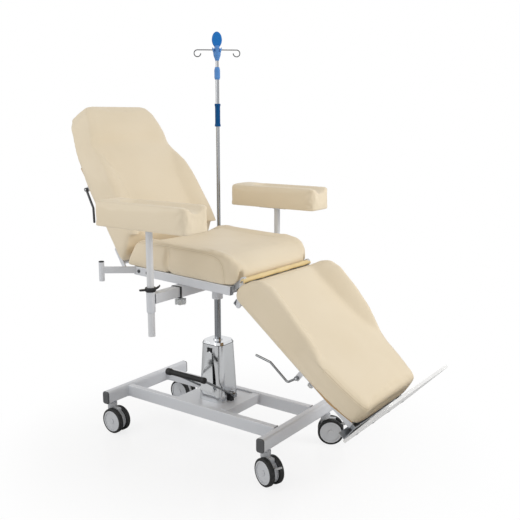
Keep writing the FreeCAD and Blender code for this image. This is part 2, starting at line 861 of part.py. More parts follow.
treadle = pedal_frame()
grip = rod(V(-pedal_grip_half_length, pedal_grip_y, pedal_grip_z),
           V(pedal_grip_half_length, pedal_grip_y, pedal_grip_z), pedal_grip_radius)
grip = grip.makeFillet(0.25 * pedal_grip_radius, [edge for edge in grip.Edges if len(edge.Vertexes) == 1])
save("pedal_blocks", *[pedal_block(side) for side in (-1, 1)])
save("pedal_frame", treadle)
save("pedal_grip", grip.cut(treadle))

# Column head, with the sleeve that the armrests slide in
sleeve_low_z = head_top_z
sleeve_mid_z = sleeve_low_z + 0.5 * sleeve_size
half_sleeve = 0.5 * sleeve_size
sleeve_inner_half = half_sleeve - sleeve_wall


def column_head():
    plate_z = head_top_z - head_plate_thickness
    socket = Part.makeCylinder(head_outer_radius, plate_z - head_bottom_z, V(0, 0, head_bottom_z))
    socket = socket.cut(Part.makeCylinder(rod_radius, rod_upper_z - head_bottom_z, V(0, 0, head_bottom_z)))
    plate = block([head_plate_rear_x, -head_plate_half_y, plate_z],
                  [head_plate_front_x, head_plate_half_y, head_top_z])
    plate = plate.makeFillet(tube_corner, [edge for edge in plate.Edges
                                           if abs(edge.tangentAt(edge.FirstParameter).z) > 0.9])
    above = on_seat(block([head_plate_rear_x - overrun, -head_plate_half_y, 0],
                          [head_plate_front_x + overrun, head_plate_half_y, seat_rail_height]))
    risers = []
    for x in (member_rear_x, member_front_x):
        low_x = x - 0.5 * head_riser_width
        riser = block([low_x, -head_plate_half_y, head_top_z],
                      [low_x + head_riser_width, head_plate_half_y, seat_pivot_z + 0.5 * seat_rail_height])
        risers.append(riser.cut(above))
    return socket.fuse([plate] + risers).removeSplitter()


def sleeve():
    body = rounded_tube("y", [arm_x - half_sleeve, -sleeve_half_length, sleeve_low_z],
                        [arm_x + half_sleeve, sleeve_half_length, sleeve_low_z + sleeve_size],
                        tube_corner, sleeve_wall)
    holes = [Part.makeCylinder(star_stem_radius + running_gap, 2 * sleeve_wall,
                               V(arm_x, side * star_knob_y, sleeve_low_z - 0.5 * sleeve_wall))
             for side in (-1, 1)]
    return body.cut(holes)


def sleeve_bush(side):
    """The black ring at the mouth of the sleeve."""
    low_y, high_y = sorted([side * sleeve_half_length, side * (sleeve_half_length + sleeve_bush_length)])
    half = half_sleeve + sleeve_bush_proud
    ring = rounded_bar("y", [arm_x - half, low_y, sleeve_mid_z - half],
                       [arm_x + half, high_y, sleeve_mid_z + half - sleeve_bush_trim], tube_corner)
    hole = block([arm_x - sleeve_inner_half, low_y - overrun, sleeve_mid_z - sleeve_inner_half],
                 [arm_x + sleeve_inner_half, high_y + overrun, sleeve_mid_z + sleeve_inner_half])
    return ring.cut(hole)


def iv_bush(side):
    """The dark ring on the rim of a pole socket."""
    ring = Part.makeCylinder(iv_socket_radius, iv_bush_height, V(iv_x, side * iv_y, iv_socket_high_z))
    hole = Part.makeCylinder(iv_tube_radius + iv_bore_gap, 3 * iv_bush_height,
                             V(iv_x, side * iv_y, iv_socket_high_z - iv_bush_height))
    return ring.cut(hole)


save("column_head", column_head())
save("arm_sleeve", sleeve())
save("frame_bushes", *([sleeve_bush(side) for side in (-1, 1)] + [iv_bush(side) for side in (-1, 1)]))

# Seat frame
rail_inside_y = seat_rail_outer_y - seat_rail_width


def seat_rail(side):
    low_y, high_y = sorted([side * rail_inside_y, side * seat_rail_outer_y])
    return on_seat(rounded_tube("x", [seat_rail_rear_x, low_y, 0],
                                [seat_rail_front_x, high_y, seat_rail_height], tube_corner, tube_wall))


def seat_member(x):
    half = 0.5 * member_width
    return on_seat(rounded_tube("y", [x - half, -rail_inside_y, 0],
                                [x + half, rail_inside_y, member_height], tube_corner, tube_wall))


def strap(points, width, low_y, high_y):
    """A flat bar with round ends that follows points of the side view."""
    half = 0.5 * width
    pieces = [Part.makeCylinder(half, high_y - low_y, V(x, low_y, z), V(0, 1, 0)) for x, z in points]
    for (x, z), (next_x, next_z) in zip(points, points[1:]):
        length = math.hypot(next_x - x, next_z - z)
        bar = block([0, low_y, -half], [length, high_y, half])
        pieces.append(lean(bar, -math.degrees(math.atan2(next_z - z, next_x - x)), x, z))
    return pieces[0].fuse(pieces[1:]).removeSplitter()


seat_turn = math.radians(seat_tilt)
rail_front_end = (seat_rail_front_x * math.cos(seat_turn),
                  seat_pivot_z - seat_rail_front_x * math.sin(seat_turn))
lug_foot = (rail_front_end[0] - seat_lug_foot_inset, rail_front_end[1] + 0.5 * seat_rail_height)
leg_hinge = (leg_hinge_x, leg_hinge_z)


def seat_hinge_pins(side):
    """The pins on the inner face of one rail: the back's, and the leg rest's on its lug."""
    pin_low, pin_high = sorted([side * (hinge_plate_y - 0.5 * hinge_plate_thickness - hinge_plate_gap),
                                side * rail_inside_y])
    back_pin = Part.makeCylinder(hinge_pin_radius, pin_high - pin_low,
                                 V(back_hinge_x, pin_low, back_hinge_z), V(0, 1, 0))
    lug_low, lug_high = sorted([side * (seat_lug_y - 0.5 * leg_lug_thickness),
                                side * (seat_lug_y + 0.5 * leg_lug_thickness)])
    lug = strap([lug_foot, leg_hinge], 2 * leg_lug_radius, lug_low, lug_high)
    pin_low, pin_high = sorted([side * (leg_lug_y - 0.5 * leg_lug_thickness - hinge_plate_gap),
                                side * (seat_lug_y + 0.5 * leg_lug_thickness)])
    leg_pin = Part.makeCylinder(leg_pin_radius, pin_high - pin_low,
                                V(leg_hinge_x, pin_low, leg_hinge_z), V(0, 1, 0))
    return back_pin, lug.fuse(leg_pin).removeSplitter()


def seat_bolt(x, side):
    """A button-head bolt on the outer face of a seat rail."""
    head = Part.makeCylinder(bolt_head_radius, bolt_head_height, V(0, 0, 0), V(0, side, 0))
    rim = [edge for edge in head.Edges
           if len(edge.Vertexes) == 1 and abs(edge.Vertexes[0].Y) > 0.5 * bolt_head_height]
    head = head.makeFillet(0.6 * bolt_head_height, rim)
    head.translate(V(x, side * seat_rail_outer_y, 0.5 * seat_rail_height))
    return on_seat(head)


seat_frame = [seat_rail(side) for side in (-1, 1)]
members_x = (end_member_rear_x, member_rear_x, member_front_x, end_member_front_x)
seat_frame += [seat_member(x) for x in members_x]
for side in (-1, 1):
    seat_frame += seat_hinge_pins(side)
save("seat_frame", *seat_frame)
board_half = rail_inside_y - board_edge_gap
seat_board = block([seat_board_rear_x, -board_half, member_height],
                   [seat_board_front_x, board_half, member_height + seat_board_thickness])
save("seat_board", on_seat(seat_board))
bolts_x = (seat_bolt_x, seat_bolt_x + bolt_spacing)
save("seat_bolts", *[seat_bolt(x, side) for x in bolts_x for side in (-1, 1)])


def section(half_width, base, side, crest, foot, centre, crest_share=0.93, foot_share=0.78):
    return half_width, base, side, crest, foot, centre, crest_share, foot_share


def seat_cushion():
    """The seat: a leaning rear end, a raised edge and a front that rolls over."""
    wide = seat_half_width
    side = seat_side_height
    crest = seat_crest_height
    panel = seat_panel_height
    soft = cushion_round
    front = seat_front_x
    stations = [
        (seat_rear_x, seat_rear_angle,
         section(wide - soft, 0.9 * soft, 0.84 * side, 0.87 * crest, 0.9 * panel,
                 0.9 * panel - 0.1 * soft)),
        (seat_rear_x + soft, seat_rear_angle, section(wide, 0, side, crest, panel, panel - 0.2 * soft)),
        (0.6 * seat_rear_x, 0.4 * seat_rear_angle,
         section(wide, 0, side, crest, panel, panel - 0.4 * soft)),
        (0, 0, section(wide, 0, side, crest, panel, panel - 0.5 * soft)),
        (0.6 * front, 0, section(wide, 0, side, crest, panel, panel - 0.2 * soft)),
        (0.77 * front, 0,
         section(wide - 0.1 * soft, 0, 0.94 * side, 0.93 * crest, 0.93 * panel, 0.94 * panel)),
        (0.87 * front, 0,
         section(wide - 0.8 * soft, 0.1 * soft, 0.82 * side, 0.84 * crest, 0.85 * panel, 0.86 * panel)),
        (0.955 * front, 0,
         section(wide - 2 * soft, 0.8 * soft, 0.62 * side, 0.67 * crest, 0.68 * panel, 0.69 * panel)),
        (front, 0,
         section(wide - 3.4 * soft, 2.1 * soft, 0.42 * side, 0.45 * crest, 0.45 * panel, 0.46 * panel)),
    ]
    body = cushion(stations)
    body.translate(V(0, 0, seat_rail_height))
    body = on_seat(body)
    grooves = []
    for side_sign in (-1, 1):
        channel_y = wide + seat_channel_radius - seat_channel_depth
        centre = V(seat_channel_x, side_sign * channel_y, seat_pivot_z)
        grooves.append(rod(centre, centre.add(V(0, 0, 3 * seat_side_height)), seat_channel_radius))
        low_y, high_y = sorted([side_sign * (seat_lug_y - 0.5 * leg_lug_thickness - leg_slot_gap),
                                side_sign * (leg_lug_y + 0.5 * leg_lug_thickness + leg_slot_gap)])
        swing = Part.makeCylinder(seat_slot_radius, high_y - low_y,
                                  V(leg_hinge_x, low_y, leg_hinge_z), V(0, 1, 0))
        grooves += [swing, strap([lug_foot, leg_hinge], 2 * (leg_lug_radius + leg_slot_gap), low_y, high_y)]
    return body.cut(grooves)


save("seat_cushion", seat_cushion())

# Back rest, drawn lying flat: -X runs up the back, +Z out of the upholstery
hinge_in_back = into_frame(back_hinge_x, back_hinge_z, back_lean_angle, back_origin_x, back_origin_z)
tube_mid_w = -back_board_thickness - 0.5 * back_tube_depth
plate_low_y = hinge_plate_y - 0.5 * hinge_plate_thickness
plate_high_y = hinge_plate_y + 0.5 * hinge_plate_thickness


def back_tube(side):
    half = 0.5 * back_tube_width
    return rounded_tube("x", [back_board_inset - back_length, side * back_tube_y - half,
                              tube_mid_w - 0.5 * back_tube_depth],
                        [-back_board_inset, side * back_tube_y + half, tube_mid_w + 0.5 * back_tube_depth],
                        tube_corner, tube_wall)


def back_cross_tube(u, half_length):
    low_x = -u - 0.5 * back_tube_width
    return rounded_tube("y", [low_x, -half_length, tube_mid_w - 0.5 * back_tube_depth],
                        [low_x + back_tube_width, half_length, tube_mid_w + 0.5 * back_tube_depth],
                        tube_corner, tube_wall)


def hinge_plate(side):
    """The bent side plate that carries the back on its hinge pin."""
    low_y, high_y = sorted([side * plate_low_y, side * plate_high_y])
    plate = strap([hinge_in_back, (hinge_elbow_x, tube_mid_w - hinge_elbow_drop),
                   (-hinge_plate_reach, tube_mid_w)], hinge_plate_height, low_y, high_y)
    bore = Part.makeCylinder(hinge_pin_radius + running_gap, high_y - low_y + 2 * overrun,
                             V(hinge_in_back[0], low_y - overrun, hinge_in_back[1]), V(0, 1, 0))
    trim = block([-2 * back_length, low_y - overrun, -back_board_thickness],
                 [-0.5 * back_board_inset, high_y + overrun, back_length])
    return plate.cut([bore, trim])


def lever_mount(x, low_w, high_w, side_y, pin_end_y):
    """The bracket under a board and the pin that its release lever turns on."""
    half = 0.5 * lever_mount_width
    low_y, high_y = sorted([side_y, side_y + lever_mount_thickness])
    bracket = block([x - half, low_y, low_w - half], [x + half, high_y, high_w])
    pin_low, pin_high = sorted([side_y, pin_end_y])
    pin = Part.makeCylinder(lever_pin_radius, pin_high - pin_low, V(x, pin_low, low_w), V(0, 1, 0))
    return bracket.fuse(pin)


def lever(points, y, radius, hub_half):
    """A bent release lever on a bored hub, which is its first point."""
    start = points[0]
    hub = Part.makeCylinder(lever_hub_radius, 2 * hub_half, V(start[0], y - hub_half, start[1]), V(0, 1, 0))
    handle = bent_rod([V(x, y, z) for x, z in points], radius, lever_bend_radius)
    tip = Part.makeSphere(radius, V(points[-1][0], y, points[-1][1]))
    bore = Part.makeCylinder(lever_pin_radius + running_gap, 4 * hub_half,
                             V(start[0], y - 2 * hub_half, start[1]), V(0, 1, 0))
    return hub.fuse([handle, tip]).removeSplitter().cut(bore)


lever_half = 0.5 * lever_hub_width
back_frame = [back_tube(side) for side in (-1, 1)]
between_tubes = back_tube_y - 0.5 * back_tube_width
back_frame += [back_cross_tube(u, between_tubes) for u in (back_middle_u, back_upper_u)]
reach_y = plate_low_y
low_tube = back_cross_tube(back_board_inset - 0.5 * back_tube_width, reach_y)
back_frame.append(low_tube)
back_frame += [hinge_plate(side) for side in (-1, 1)]
back_frame.append(lever_mount(-back_lever_u, back_lever_w, -back_board_thickness,
                              back_lever_y + lever_half + lever_mount_gap, back_lever_y - lever_half))
save("back_frame", *[on_back(piece) for piece in back_frame])

shoulder = back_shoulder_u
outline = [(-back_board_inset, back_board_half_width), (-shoulder, back_board_half_width),
           (-back_neck_u, back_board_top_half_width),
           (back_board_inset - back_length, back_board_top_half_width)]
corners = [V(x, y, -back_board_thickness) for x, y in outline]
corners += [V(x, -y, -back_board_thickness) for x, y in reversed(outline)]
back_board = Part.Face(Part.makePolygon(corners + corners[:1])).extrude(V(0, 0, back_board_thickness))
save("back_board", on_back(back_board))


def seat_rear_room():
    """The seat's rear outline as the back meets it when it is folded fully forward."""
    outline = []
    crest = seat_crest_height + back_clear_gap
    reach = seat_rear_x - back_clear_gap
    slope = math.tan(math.radians(seat_rear_angle))
    for x, z in ((reach, -crest), (reach, 0), (reach + slope * crest, crest), (0, crest), (0, -crest)):
        turn = math.radians(seat_tilt)
        height = z + seat_rail_height
        outline.append((x * math.cos(turn) + height * math.sin(turn),
                        seat_pivot_z - x * math.sin(turn) + height * math.cos(turn)))
    room = prism(outline, -2 * back_half_width, 2 * back_half_width)
    room.rotate(V(back_hinge_x, 0, back_hinge_z), V(0, 1, 0), -back_forward_range)
    return room


def back_cushion():
    """The back: deep side wings below, shoulders, and a narrower head end."""
    wide = back_half_width
    panel = back_panel_height
    side = back_side_height
    wing = back_wing_height
    head = head_height
    soft = cushion_round
    neck = head_half_width
    crown = head_crown_half_width
    end = head_top_half_width
    stations = [
        (0, back_bottom_angle,
         section(wide - soft, 0.5 * soft, 0.85 * side, 0.9 * wing, 0.95 * panel, 0.97 * panel, 0.93, 0.7)),
        (-soft, back_bottom_angle, section(wide, 0, side, wing, panel, 1.02 * panel, 0.93, 0.68)),
        (-0.17 * back_length, 0.4 * back_bottom_angle,
         section(wide, 0, side, wing, panel, 1.02 * panel, 0.93, 0.66)),
        (-back_wing_full_u, 0, section(wide, 0, side, 0.97 * wing, panel, 1.02 * panel, 0.93, 0.62)),
        (0.5 * (-back_wing_full_u - back_wing_fall_u), 0,
         section(wide, 0, 0.98 * side, 0.95 * wing, panel, 1.02 * panel, 0.93, 0.64)),
        (-back_wing_fall_u, 0,
         section(0.985 * wide, 0, 0.94 * side, 0.91 * wing, panel, 1.03 * panel, 0.93, 0.72)),
        (-back_wing_end_u, 0,
         section(0.97 * wide, 0, 0.88 * side, back_shoulder_height, panel, 1.03 * panel, 0.93, 0.8)),
        (-back_shoulder_u, 0,
         section(0.5 * (0.97 * wide + neck), 0, 0.82 * side, 0.5 * (back_shoulder_height + back_neck_height),
                 panel, 1.01 * panel, 0.93, 0.83)),
        (-back_neck_u, 0,
         section(neck, 0, 0.85 * back_neck_height, 1.01 * back_neck_height, back_neck_height,
                 1.01 * back_neck_height, 0.92, 0.8)),
        (0.5 * (-back_neck_u - back_pillow_u), 0,
         section(0.965 * neck, 0, 0.8 * head, 0.95 * head, 0.96 * head, 0.97 * head, 0.91, 0.75)),
        (-back_pillow_u, 0,
         section(0.5 * (0.965 * neck + crown), 0, 0.82 * head, head, 1.01 * head, 1.02 * head, 0.9, 0.75)),
        (-back_crown_u, 0, section(crown, 0, 0.81 * head, 0.98 * head, head, 1.01 * head, 0.9, 0.75)),
        (2 * soft - back_length, 0,
         section(0.5 * (crown + end), 0, 0.8 * head, 0.97 * head, 0.99 * head, head, 0.9, 0.75)),
        (0.7 * soft - back_length, 0,
         section(0.3 * crown + 0.7 * end, 0, 0.79 * head, 0.94 * head, 0.96 * head, 0.97 * head, 0.9, 0.75)),
        (-back_length, 0,
         section(end - 0.5 * soft, 0.7 * soft, 0.7 * head, 0.83 * head, 0.85 * head, 0.86 * head, 0.9, 0.75)),
    ]
    body = on_back(cushion(stations)).cut(seat_rear_room())
    return max(body.Solids, key=lambda solid: solid.Volume)


save("back_cushion", back_cushion())
back_lever_path = [(-u, w) for u, w in back_lever_points]
save("back_lever", on_back(lever(back_lever_path, back_lever_y, back_lever_radius, lever_half)))

# Leg rest, drawn level: +X runs down the leg, +Z out of the upholstery
hinge_in_leg = into_frame(leg_hinge_x, leg_hinge_z, leg_lean_angle, leg_origin_x, leg_origin_z)
leg_mid_w = -back_board_thickness - 0.5 * leg_tube_depth
half_leg_tube = 0.5 * leg_tube_width
knob_hole = Part.makeCylinder(star_stem_radius + running_gap, leg_tube_depth,
                              V(lock_knob_u, -leg_tube_y, leg_mid_w - leg_tube_depth))


def leg_tube(side):
    middle_y = side * leg_tube_y
    half_depth = 0.5 * leg_tube_depth
    tube = rounded_tube("x", [leg_tube_start, middle_y - half_leg_tube, leg_mid_w - half_depth],
                        [leg_length - leg_tube_inset, middle_y + half_leg_tube, leg_mid_w + half_depth],
                        tube_corner, leg_tube_wall)
    return tube.cut(knob_hole) if side < 0 else tube


def leg_cross_tube(low_x, half_length):
    return rounded_tube("y", [low_x, -half_length, leg_mid_w - 0.5 * leg_tube_depth],
                        [low_x + leg_tube_depth, half_length, leg_mid_w + 0.5 * leg_tube_depth],
                        tube_corner, tube_wall)


def leg_lug(side):
    """The plate at the top of the leg frame that turns on the seat's pin."""
    low_y, high_y = sorted([side * (leg_lug_y - 0.5 * leg_lug_thickness),
                            side * (leg_lug_y + 0.5 * leg_lug_thickness)])
    plate = strap([hinge_in_leg, (leg_tube_start, leg_mid_w)], 2 * leg_lug_radius, low_y, high_y)
    return plate.cut(Part.makeCylinder(leg_pin_radius + running_gap, high_y - low_y + 2 * overrun,
                                       V(hinge_in_leg[0], low_y - overrun, hinge_in_leg[1]), V(0, 1, 0)))


leg_frame = [leg_tube(side) for side in (-1, 1)]
inner_reach = leg_tube_y - half_leg_tube
leg_frame.append(leg_cross_tube(leg_tube_start - leg_tube_depth, leg_lug_y - 0.5 * leg_lug_thickness))
leg_end_x = leg_length - leg_tube_inset - leg_tube_depth
leg_frame += [leg_cross_tube(x, inner_reach) for x in (leg_middle_u, leg_end_x)]
leg_frame += [leg_lug(side) for side in (-1, 1)]
leg_frame.append(lever_mount(leg_lever_points[0][0], leg_lever_points[0][1], -back_board_thickness,
                             leg_lever_y + lever_half + lever_mount_gap, leg_lever_y - lever_half))
save("leg_frame", *[on_leg(piece) for piece in leg_frame])
outline = [(leg_board_inset, leg_board_half_width), (leg_taper_u, leg_board_half_width),
           (leg_length - leg_board_inset, leg_board_foot_half_width)]
corners = [V(x, y, -back_board_thickness) for x, y in outline]
corners += [V(x, -y, -back_board_thickness) for x, y in reversed(outline)]
leg_board = Part.Face(Part.makePolygon(corners + corners[:1])).extrude(V(0, 0, back_board_thickness))
save("leg_board", on_leg(leg_board))


# Where the seat's lug stands in the leg rest when it is folded all the way down
folded_turn = into_frame(lug_foot[0], lug_foot[1], leg_lean_angle + leg_fold_angle, leg_hinge_x, leg_hinge_z)
lug_foot_in_leg = (hinge_in_leg[0] + folded_turn[0], hinge_in_leg[1] + folded_turn[1])


def leg_cushion():
    """The leg rest: side bolsters at the knee, fading into a flat pad with round sides."""
    wide = leg_half_width
    foot = leg_foot_half_width
    side = leg_side_height
    crest = leg_bolster_height
    panel = leg_panel_height
    soft = cushion_round
    toe = leg_toe_height
    stations = [
        (leg_top_x, 0,
         section(wide - 0.4 * soft, toe, 0.47 * side, 0.72 * panel, 0.73 * panel, 0.74 * panel, 0.93,
                 0.75)),
        (leg_top_x + 0.8 * soft, 0,
         section(wide, 0.4 * toe, 0.61 * side, 0.98 * panel, 0.91 * panel, 0.92 * panel, 0.93, 0.75)),
        (leg_top_x + 1.8 * soft, 0,
         section(wide, 0, 0.79 * side, 1.3 * panel, 0.99 * panel, 1.01 * panel, 0.92, 0.72)),
        (leg_bolster_start_u, 0,
         section(wide, 0, 0.97 * side, 0.92 * crest, 1.02 * panel, 1.04 * panel, 0.92, 0.68)),
        (leg_bolster_full_u, 0, section(wide, 0, side, crest, 1.01 * panel, 1.03 * panel, 0.92, 0.65)),
        (0.5 * (leg_bolster_full_u + leg_bolster_fall_u), 0,
         section(wide, 0, 0.97 * side, 0.93 * crest, panel, 1.02 * panel, 0.93, 0.66)),
        (leg_bolster_fall_u, 0,
         section(wide, 0, 0.88 * side, 0.81 * crest, panel, 1.02 * panel, 0.93, 0.69)),
        (leg_bolster_low_u, 0,
         section(0.995 * wide, 0, 0.82 * side, 0.7 * crest, 1.01 * panel, 1.02 * panel, 0.93, 0.76)),
        (leg_bolster_end_u, 0,
         section(0.985 * wide, 0, 0.75 * side, 0.58 * crest, 1.01 * panel, 1.02 * panel, 0.94, 0.85)),
        (leg_flat_u, 0,
         section(0.975 * wide, 0, 0.72 * side, 0.98 * panel, panel, 1.02 * panel, 0.93, 0.85)),
        (leg_taper_u, 0,
         section(0.94 * wide, 0, 0.71 * side, 0.97 * panel, panel, 1.02 * panel, 0.93, 0.85)),
        (leg_foot_u, 0, section(foot, 0, 0.71 * side, 0.97 * panel, panel, 1.01 * panel, 0.93, 0.85)),
        (leg_length - 1.2 * soft, 0,
         section(0.955 * foot, 0, 0.7 * side, 0.96 * panel, 0.99 * panel, 1.01 * panel, 0.93, 0.85)),
        (leg_length - 0.5 * soft, 0,
         section(0.91 * foot, 0.1 * soft, 0.68 * side, 0.93 * panel, 0.96 * panel, 0.98 * panel, 0.93,
                 0.85)),
        (leg_length, 0,
         section(0.85 * foot, 0.7 * soft, 0.6 * side, 0.82 * panel, 0.84 * panel, 0.85 * panel, 0.92,
                 0.85)),
    ]
    slots = []
    for sign in (-1, 1):
        low_y, high_y = sorted([sign * (seat_lug_y - 0.5 * leg_lug_thickness - leg_slot_gap),
                                sign * (leg_lug_y + 0.5 * leg_lug_thickness + leg_slot_gap)])
        slots.append(Part.makeCylinder(leg_slot_radius, high_y - low_y,
                                       V(hinge_in_leg[0], low_y, hinge_in_leg[1]), V(0, 1, 0)))
        for far_end in ((leg_tube_start, leg_mid_w), lug_foot_in_leg):
            slots.append(strap([hinge_in_leg, far_end], 2 * (leg_lug_radius + leg_slot_gap), low_y, high_y))
    return on_leg(cushion(stations).cut(slots))


save("leg_cushion", leg_cushion())
save("leg_lever", on_leg(lever(leg_lever_points, leg_lever_y, lever_rod_radius, lever_half)))

# Sliding foot rest
slide_gap = leg_tube_wall + foot_slide_gap
foot_plate_x = leg_length + foot_plate_gap
foot_low_x = foot_plate_x - foot_angle_thickness


def foot_slide(side):
    bar = rounded_tube("x", [foot_plate_x - foot_slide_inside, side * leg_tube_y - half_leg_tube + slide_gap,
                             leg_mid_w - 0.5 * leg_tube_depth + slide_gap],
                       [foot_low_x, side * leg_tube_y + half_leg_tube - slide_gap,
                        leg_mid_w + 0.5 * leg_tube_depth - slide_gap], 0.5 * tube_corner, tube_wall)
    return bar


angle_half = foot_plate_half_width - foot_plate_corner
foot_angle = block([foot_low_x, -angle_half, foot_plate_low], [foot_plate_x, angle_half, foot_angle_high])
foot_flange = block([foot_plate_x - foot_angle_depth, -angle_half, foot_plate_low],
                    [foot_low_x, angle_half, foot_plate_low + foot_angle_thickness])
foot_plate = block([0, -foot_plate_half_width, 0],
                   [foot_plate_thickness, foot_plate_half_width, foot_plate_high - foot_plate_low])
foot_plate = foot_plate.makeFillet(foot_plate_corner, [
    edge for edge in foot_plate.Edges
    if abs(edge.Vertexes[0].Y - edge.Vertexes[1].Y) < 0.1 * foot_plate_thickness
    and abs(edge.Vertexes[0].Z - edge.Vertexes[1].Z) < 0.1 * foot_plate_thickness])
foot_plate = lean(foot_plate, foot_plate_lean_angle, foot_plate_x, foot_plate_low)
foot_pieces = [foot_slide(-1), foot_slide(1), foot_angle.fuse(foot_flange)]
save("foot_slides", *[on_leg(piece) for piece in foot_pieces])
save("foot_plate", on_leg(foot_plate))


def star_knob(radius, height, stem_length):
    """A lobed knob below the origin with its stem rising through it."""
    grip = Part.makeCylinder(radius - knob_lobe_radius, height, V(0, 0, -height))
    lobes = []
    for step in range(knob_lobes):
        turn = math.radians(360 * step / knob_lobes)
        reach = radius - knob_lobe_radius
        lobes.append(Part.makeCylinder(knob_lobe_radius, height,
                                       V(reach * math.cos(turn), reach * math.sin(turn), -height)))
    stem = Part.makeCylinder(star_stem_radius, height + stem_length, V(0, 0, -0.5 * height))
    return grip.fuse(lobes + [stem]).removeSplitter()


lock_knob = star_knob(lock_knob_radius, lock_knob_height, lock_stem_length - 0.5 * lock_knob_height)
lock_knob.translate(V(lock_knob_u, -leg_tube_y, leg_mid_w - 0.5 * leg_tube_depth - lock_stem_gap))
save("foot_lock_knob", on_leg(lock_knob))

# Armrests, the right one at -Y and the left one at +Y
names = {-1: "right", 1: "left"}
bar_half = sleeve_inner_half - arm_bar_gap
arm_pad_base_z = post_high_z + arm_pad_lift
socket_bore = post_radius + running_gap
post_bore = post_radius - post_wall


def arm_bar(side):
    """The square bar in the sleeve and the upright socket welded to its outer end."""
    end_y = side * (arm_y - 0.5 * arm_socket_radius)
    low_y, high_y = sorted([side * arm_bar_inner_y, end_y])
    bar = rounded_tube("y", [arm_x - bar_half, low_y, sleeve_mid_z - bar_half],
                       [arm_x + bar_half, high_y, sleeve_mid_z + bar_half], tube_corner, tube_wall)
    socket = Part.makeCylinder(arm_socket_radius, arm_socket_high_z - arm_socket_low_z,
                               V(arm_x, side * arm_y, arm_socket_low_z))
    rim = [edge for edge in socket.Edges if len(edge.Vertexes) == 1
           and abs(edge.Vertexes[0].Z - arm_socket_low_z) < 0.1 * arm_socket_radius]
    socket = socket.makeChamfer(arm_socket_chamfer, rim)
    bore = Part.makeCylinder(socket_bore, 2 * arm_socket_high_z, V(arm_x, side * arm_y, 0))
    return bar.fuse(socket).cut(bore)


def arm_clamp(side):
    """The clamp ring on the socket's rim, turned by its wing."""
    low_z = arm_socket_high_z + clamp_gap
    ring = Part.makeCylinder(collar_radius, collar_height, V(arm_x, side * arm_y, low_z))
    wing = rounded_bar("z", [0, -0.5 * collar_wing_width, low_z],
                       [collar_wing_reach, 0.5 * collar_wing_width, low_z + collar_height], tube_corner)
    wing.rotate(V(0, 0, 0), V(0, 0, 1), 90 + side * 90 - side * collar_wing_angle)
    wing.translate(V(arm_x, side * arm_y, 0))
    bore = Part.makeCylinder(socket_bore, 2 * arm_socket_high_z, V(arm_x, side * arm_y, 0))
    return ring.fuse(wing).removeSplitter().cut(bore)


def arm_post(side):
    """The tube that rises in the socket, plugged at its foot."""
    low = V(arm_x, side * arm_y, post_low_z)
    tube = pipe(low, V(arm_x, side * arm_y, post_high_z), post_radius, post_bore)
    return tube.fuse(Part.makeCylinder(post_bore, post_plug_height, low)).removeSplitter()


def arm_mount(side):
    """The plate under an arm pad and the spigot that turns in the post."""
    plate_z = arm_pad_base_z - arm_plate_thickness
    centre = V(arm_x, side * arm_y, 0)
    half_width = 0.5 * arm_plate_width
    plate = block([arm_x - 0.5 * arm_plate_length, side * arm_y - half_width, plate_z],
                  [arm_x + 0.5 * arm_plate_length, side * arm_y + half_width, arm_pad_base_z])
    flange_z = post_high_z + spigot_gap
    flange = Part.makeCylinder(spigot_flange_radius, plate_z - flange_z, centre.add(V(0, 0, flange_z)))
    spigot = Part.makeCylinder(post_bore - spigot_gap, plate_z - post_high_z + spigot_length,
                               centre.add(V(0, 0, post_high_z - spigot_length)))
    return plate.fuse([flange, spigot]).removeSplitter()


def arm_pad(side):
    """The arm pad: flat behind, with a shallow trough between two ridges in front."""
    wide = arm_pad_half_width
    full = arm_pad_height
    deep = full - arm_trough_depth
    soft = cushion_round
    edge = full - edge_round
    rear = arm_pad_rear_x
    front = arm_pad_front_x
    stations = [
        (rear, 0,
         section(wide - 0.6 * soft, 0.25 * soft, 0.84 * edge, 0.88 * full, 0.9 * full, 0.91 * full, 0.9,
                 0.5)),
        (rear + 0.6 * soft, 0, section(wide, 0, edge, 0.985 * full, full, 1.005 * full, 0.9, 0.5)),
        (arm_trough_start_x - 0.8 * soft, 0,
         section(wide, 0, edge, 0.99 * full, full, 1.005 * full, 0.9, 0.5)),
        (arm_trough_start_x + 1.6 * soft, 0, section(wide, 0, edge, full, 0.96 * full, deep, 0.9, 0.62)),
        (front - 1.4 * soft, 0, section(wide, 0, edge, full, 0.96 * full, deep, 0.9, 0.62)),
        (front - 0.4 * soft, 0,
         section(wide - 0.5 * soft, 0, 0.96 * edge, 0.97 * full, 0.93 * full, 0.98 * deep, 0.9, 0.62)),
        (front, 0,
         section(wide - 1.3 * soft, 0.3 * soft, 0.88 * edge, 0.9 * full, 0.87 * full, 0.94 * deep, 0.9,
                 0.62)),
    ]
    body = cushion(stations)
    body.translate(V(0, side * (arm_y + arm_pad_offset), arm_pad_base_z))
    return body


for side, name in names.items():
    knob = star_knob(star_knob_radius, star_knob_height, star_stem_length - 0.5 * star_knob_height)
    knob.translate(V(arm_x, side * star_knob_y, sleeve_low_z - star_stem_gap))
    save("arm_bar_" + name, arm_bar(side))
    save("arm_clamp_" + name, arm_clamp(side))
    save("arm_post_" + name, arm_post(side))
    save("arm_mount_" + name, arm_mount(side))
    save("arm_pad_" + name, arm_pad(side))
    save("arm_knob_" + name, knob)

# Infusion pole and its sockets
iv_bore = iv_tube_radius + iv_bore_gap


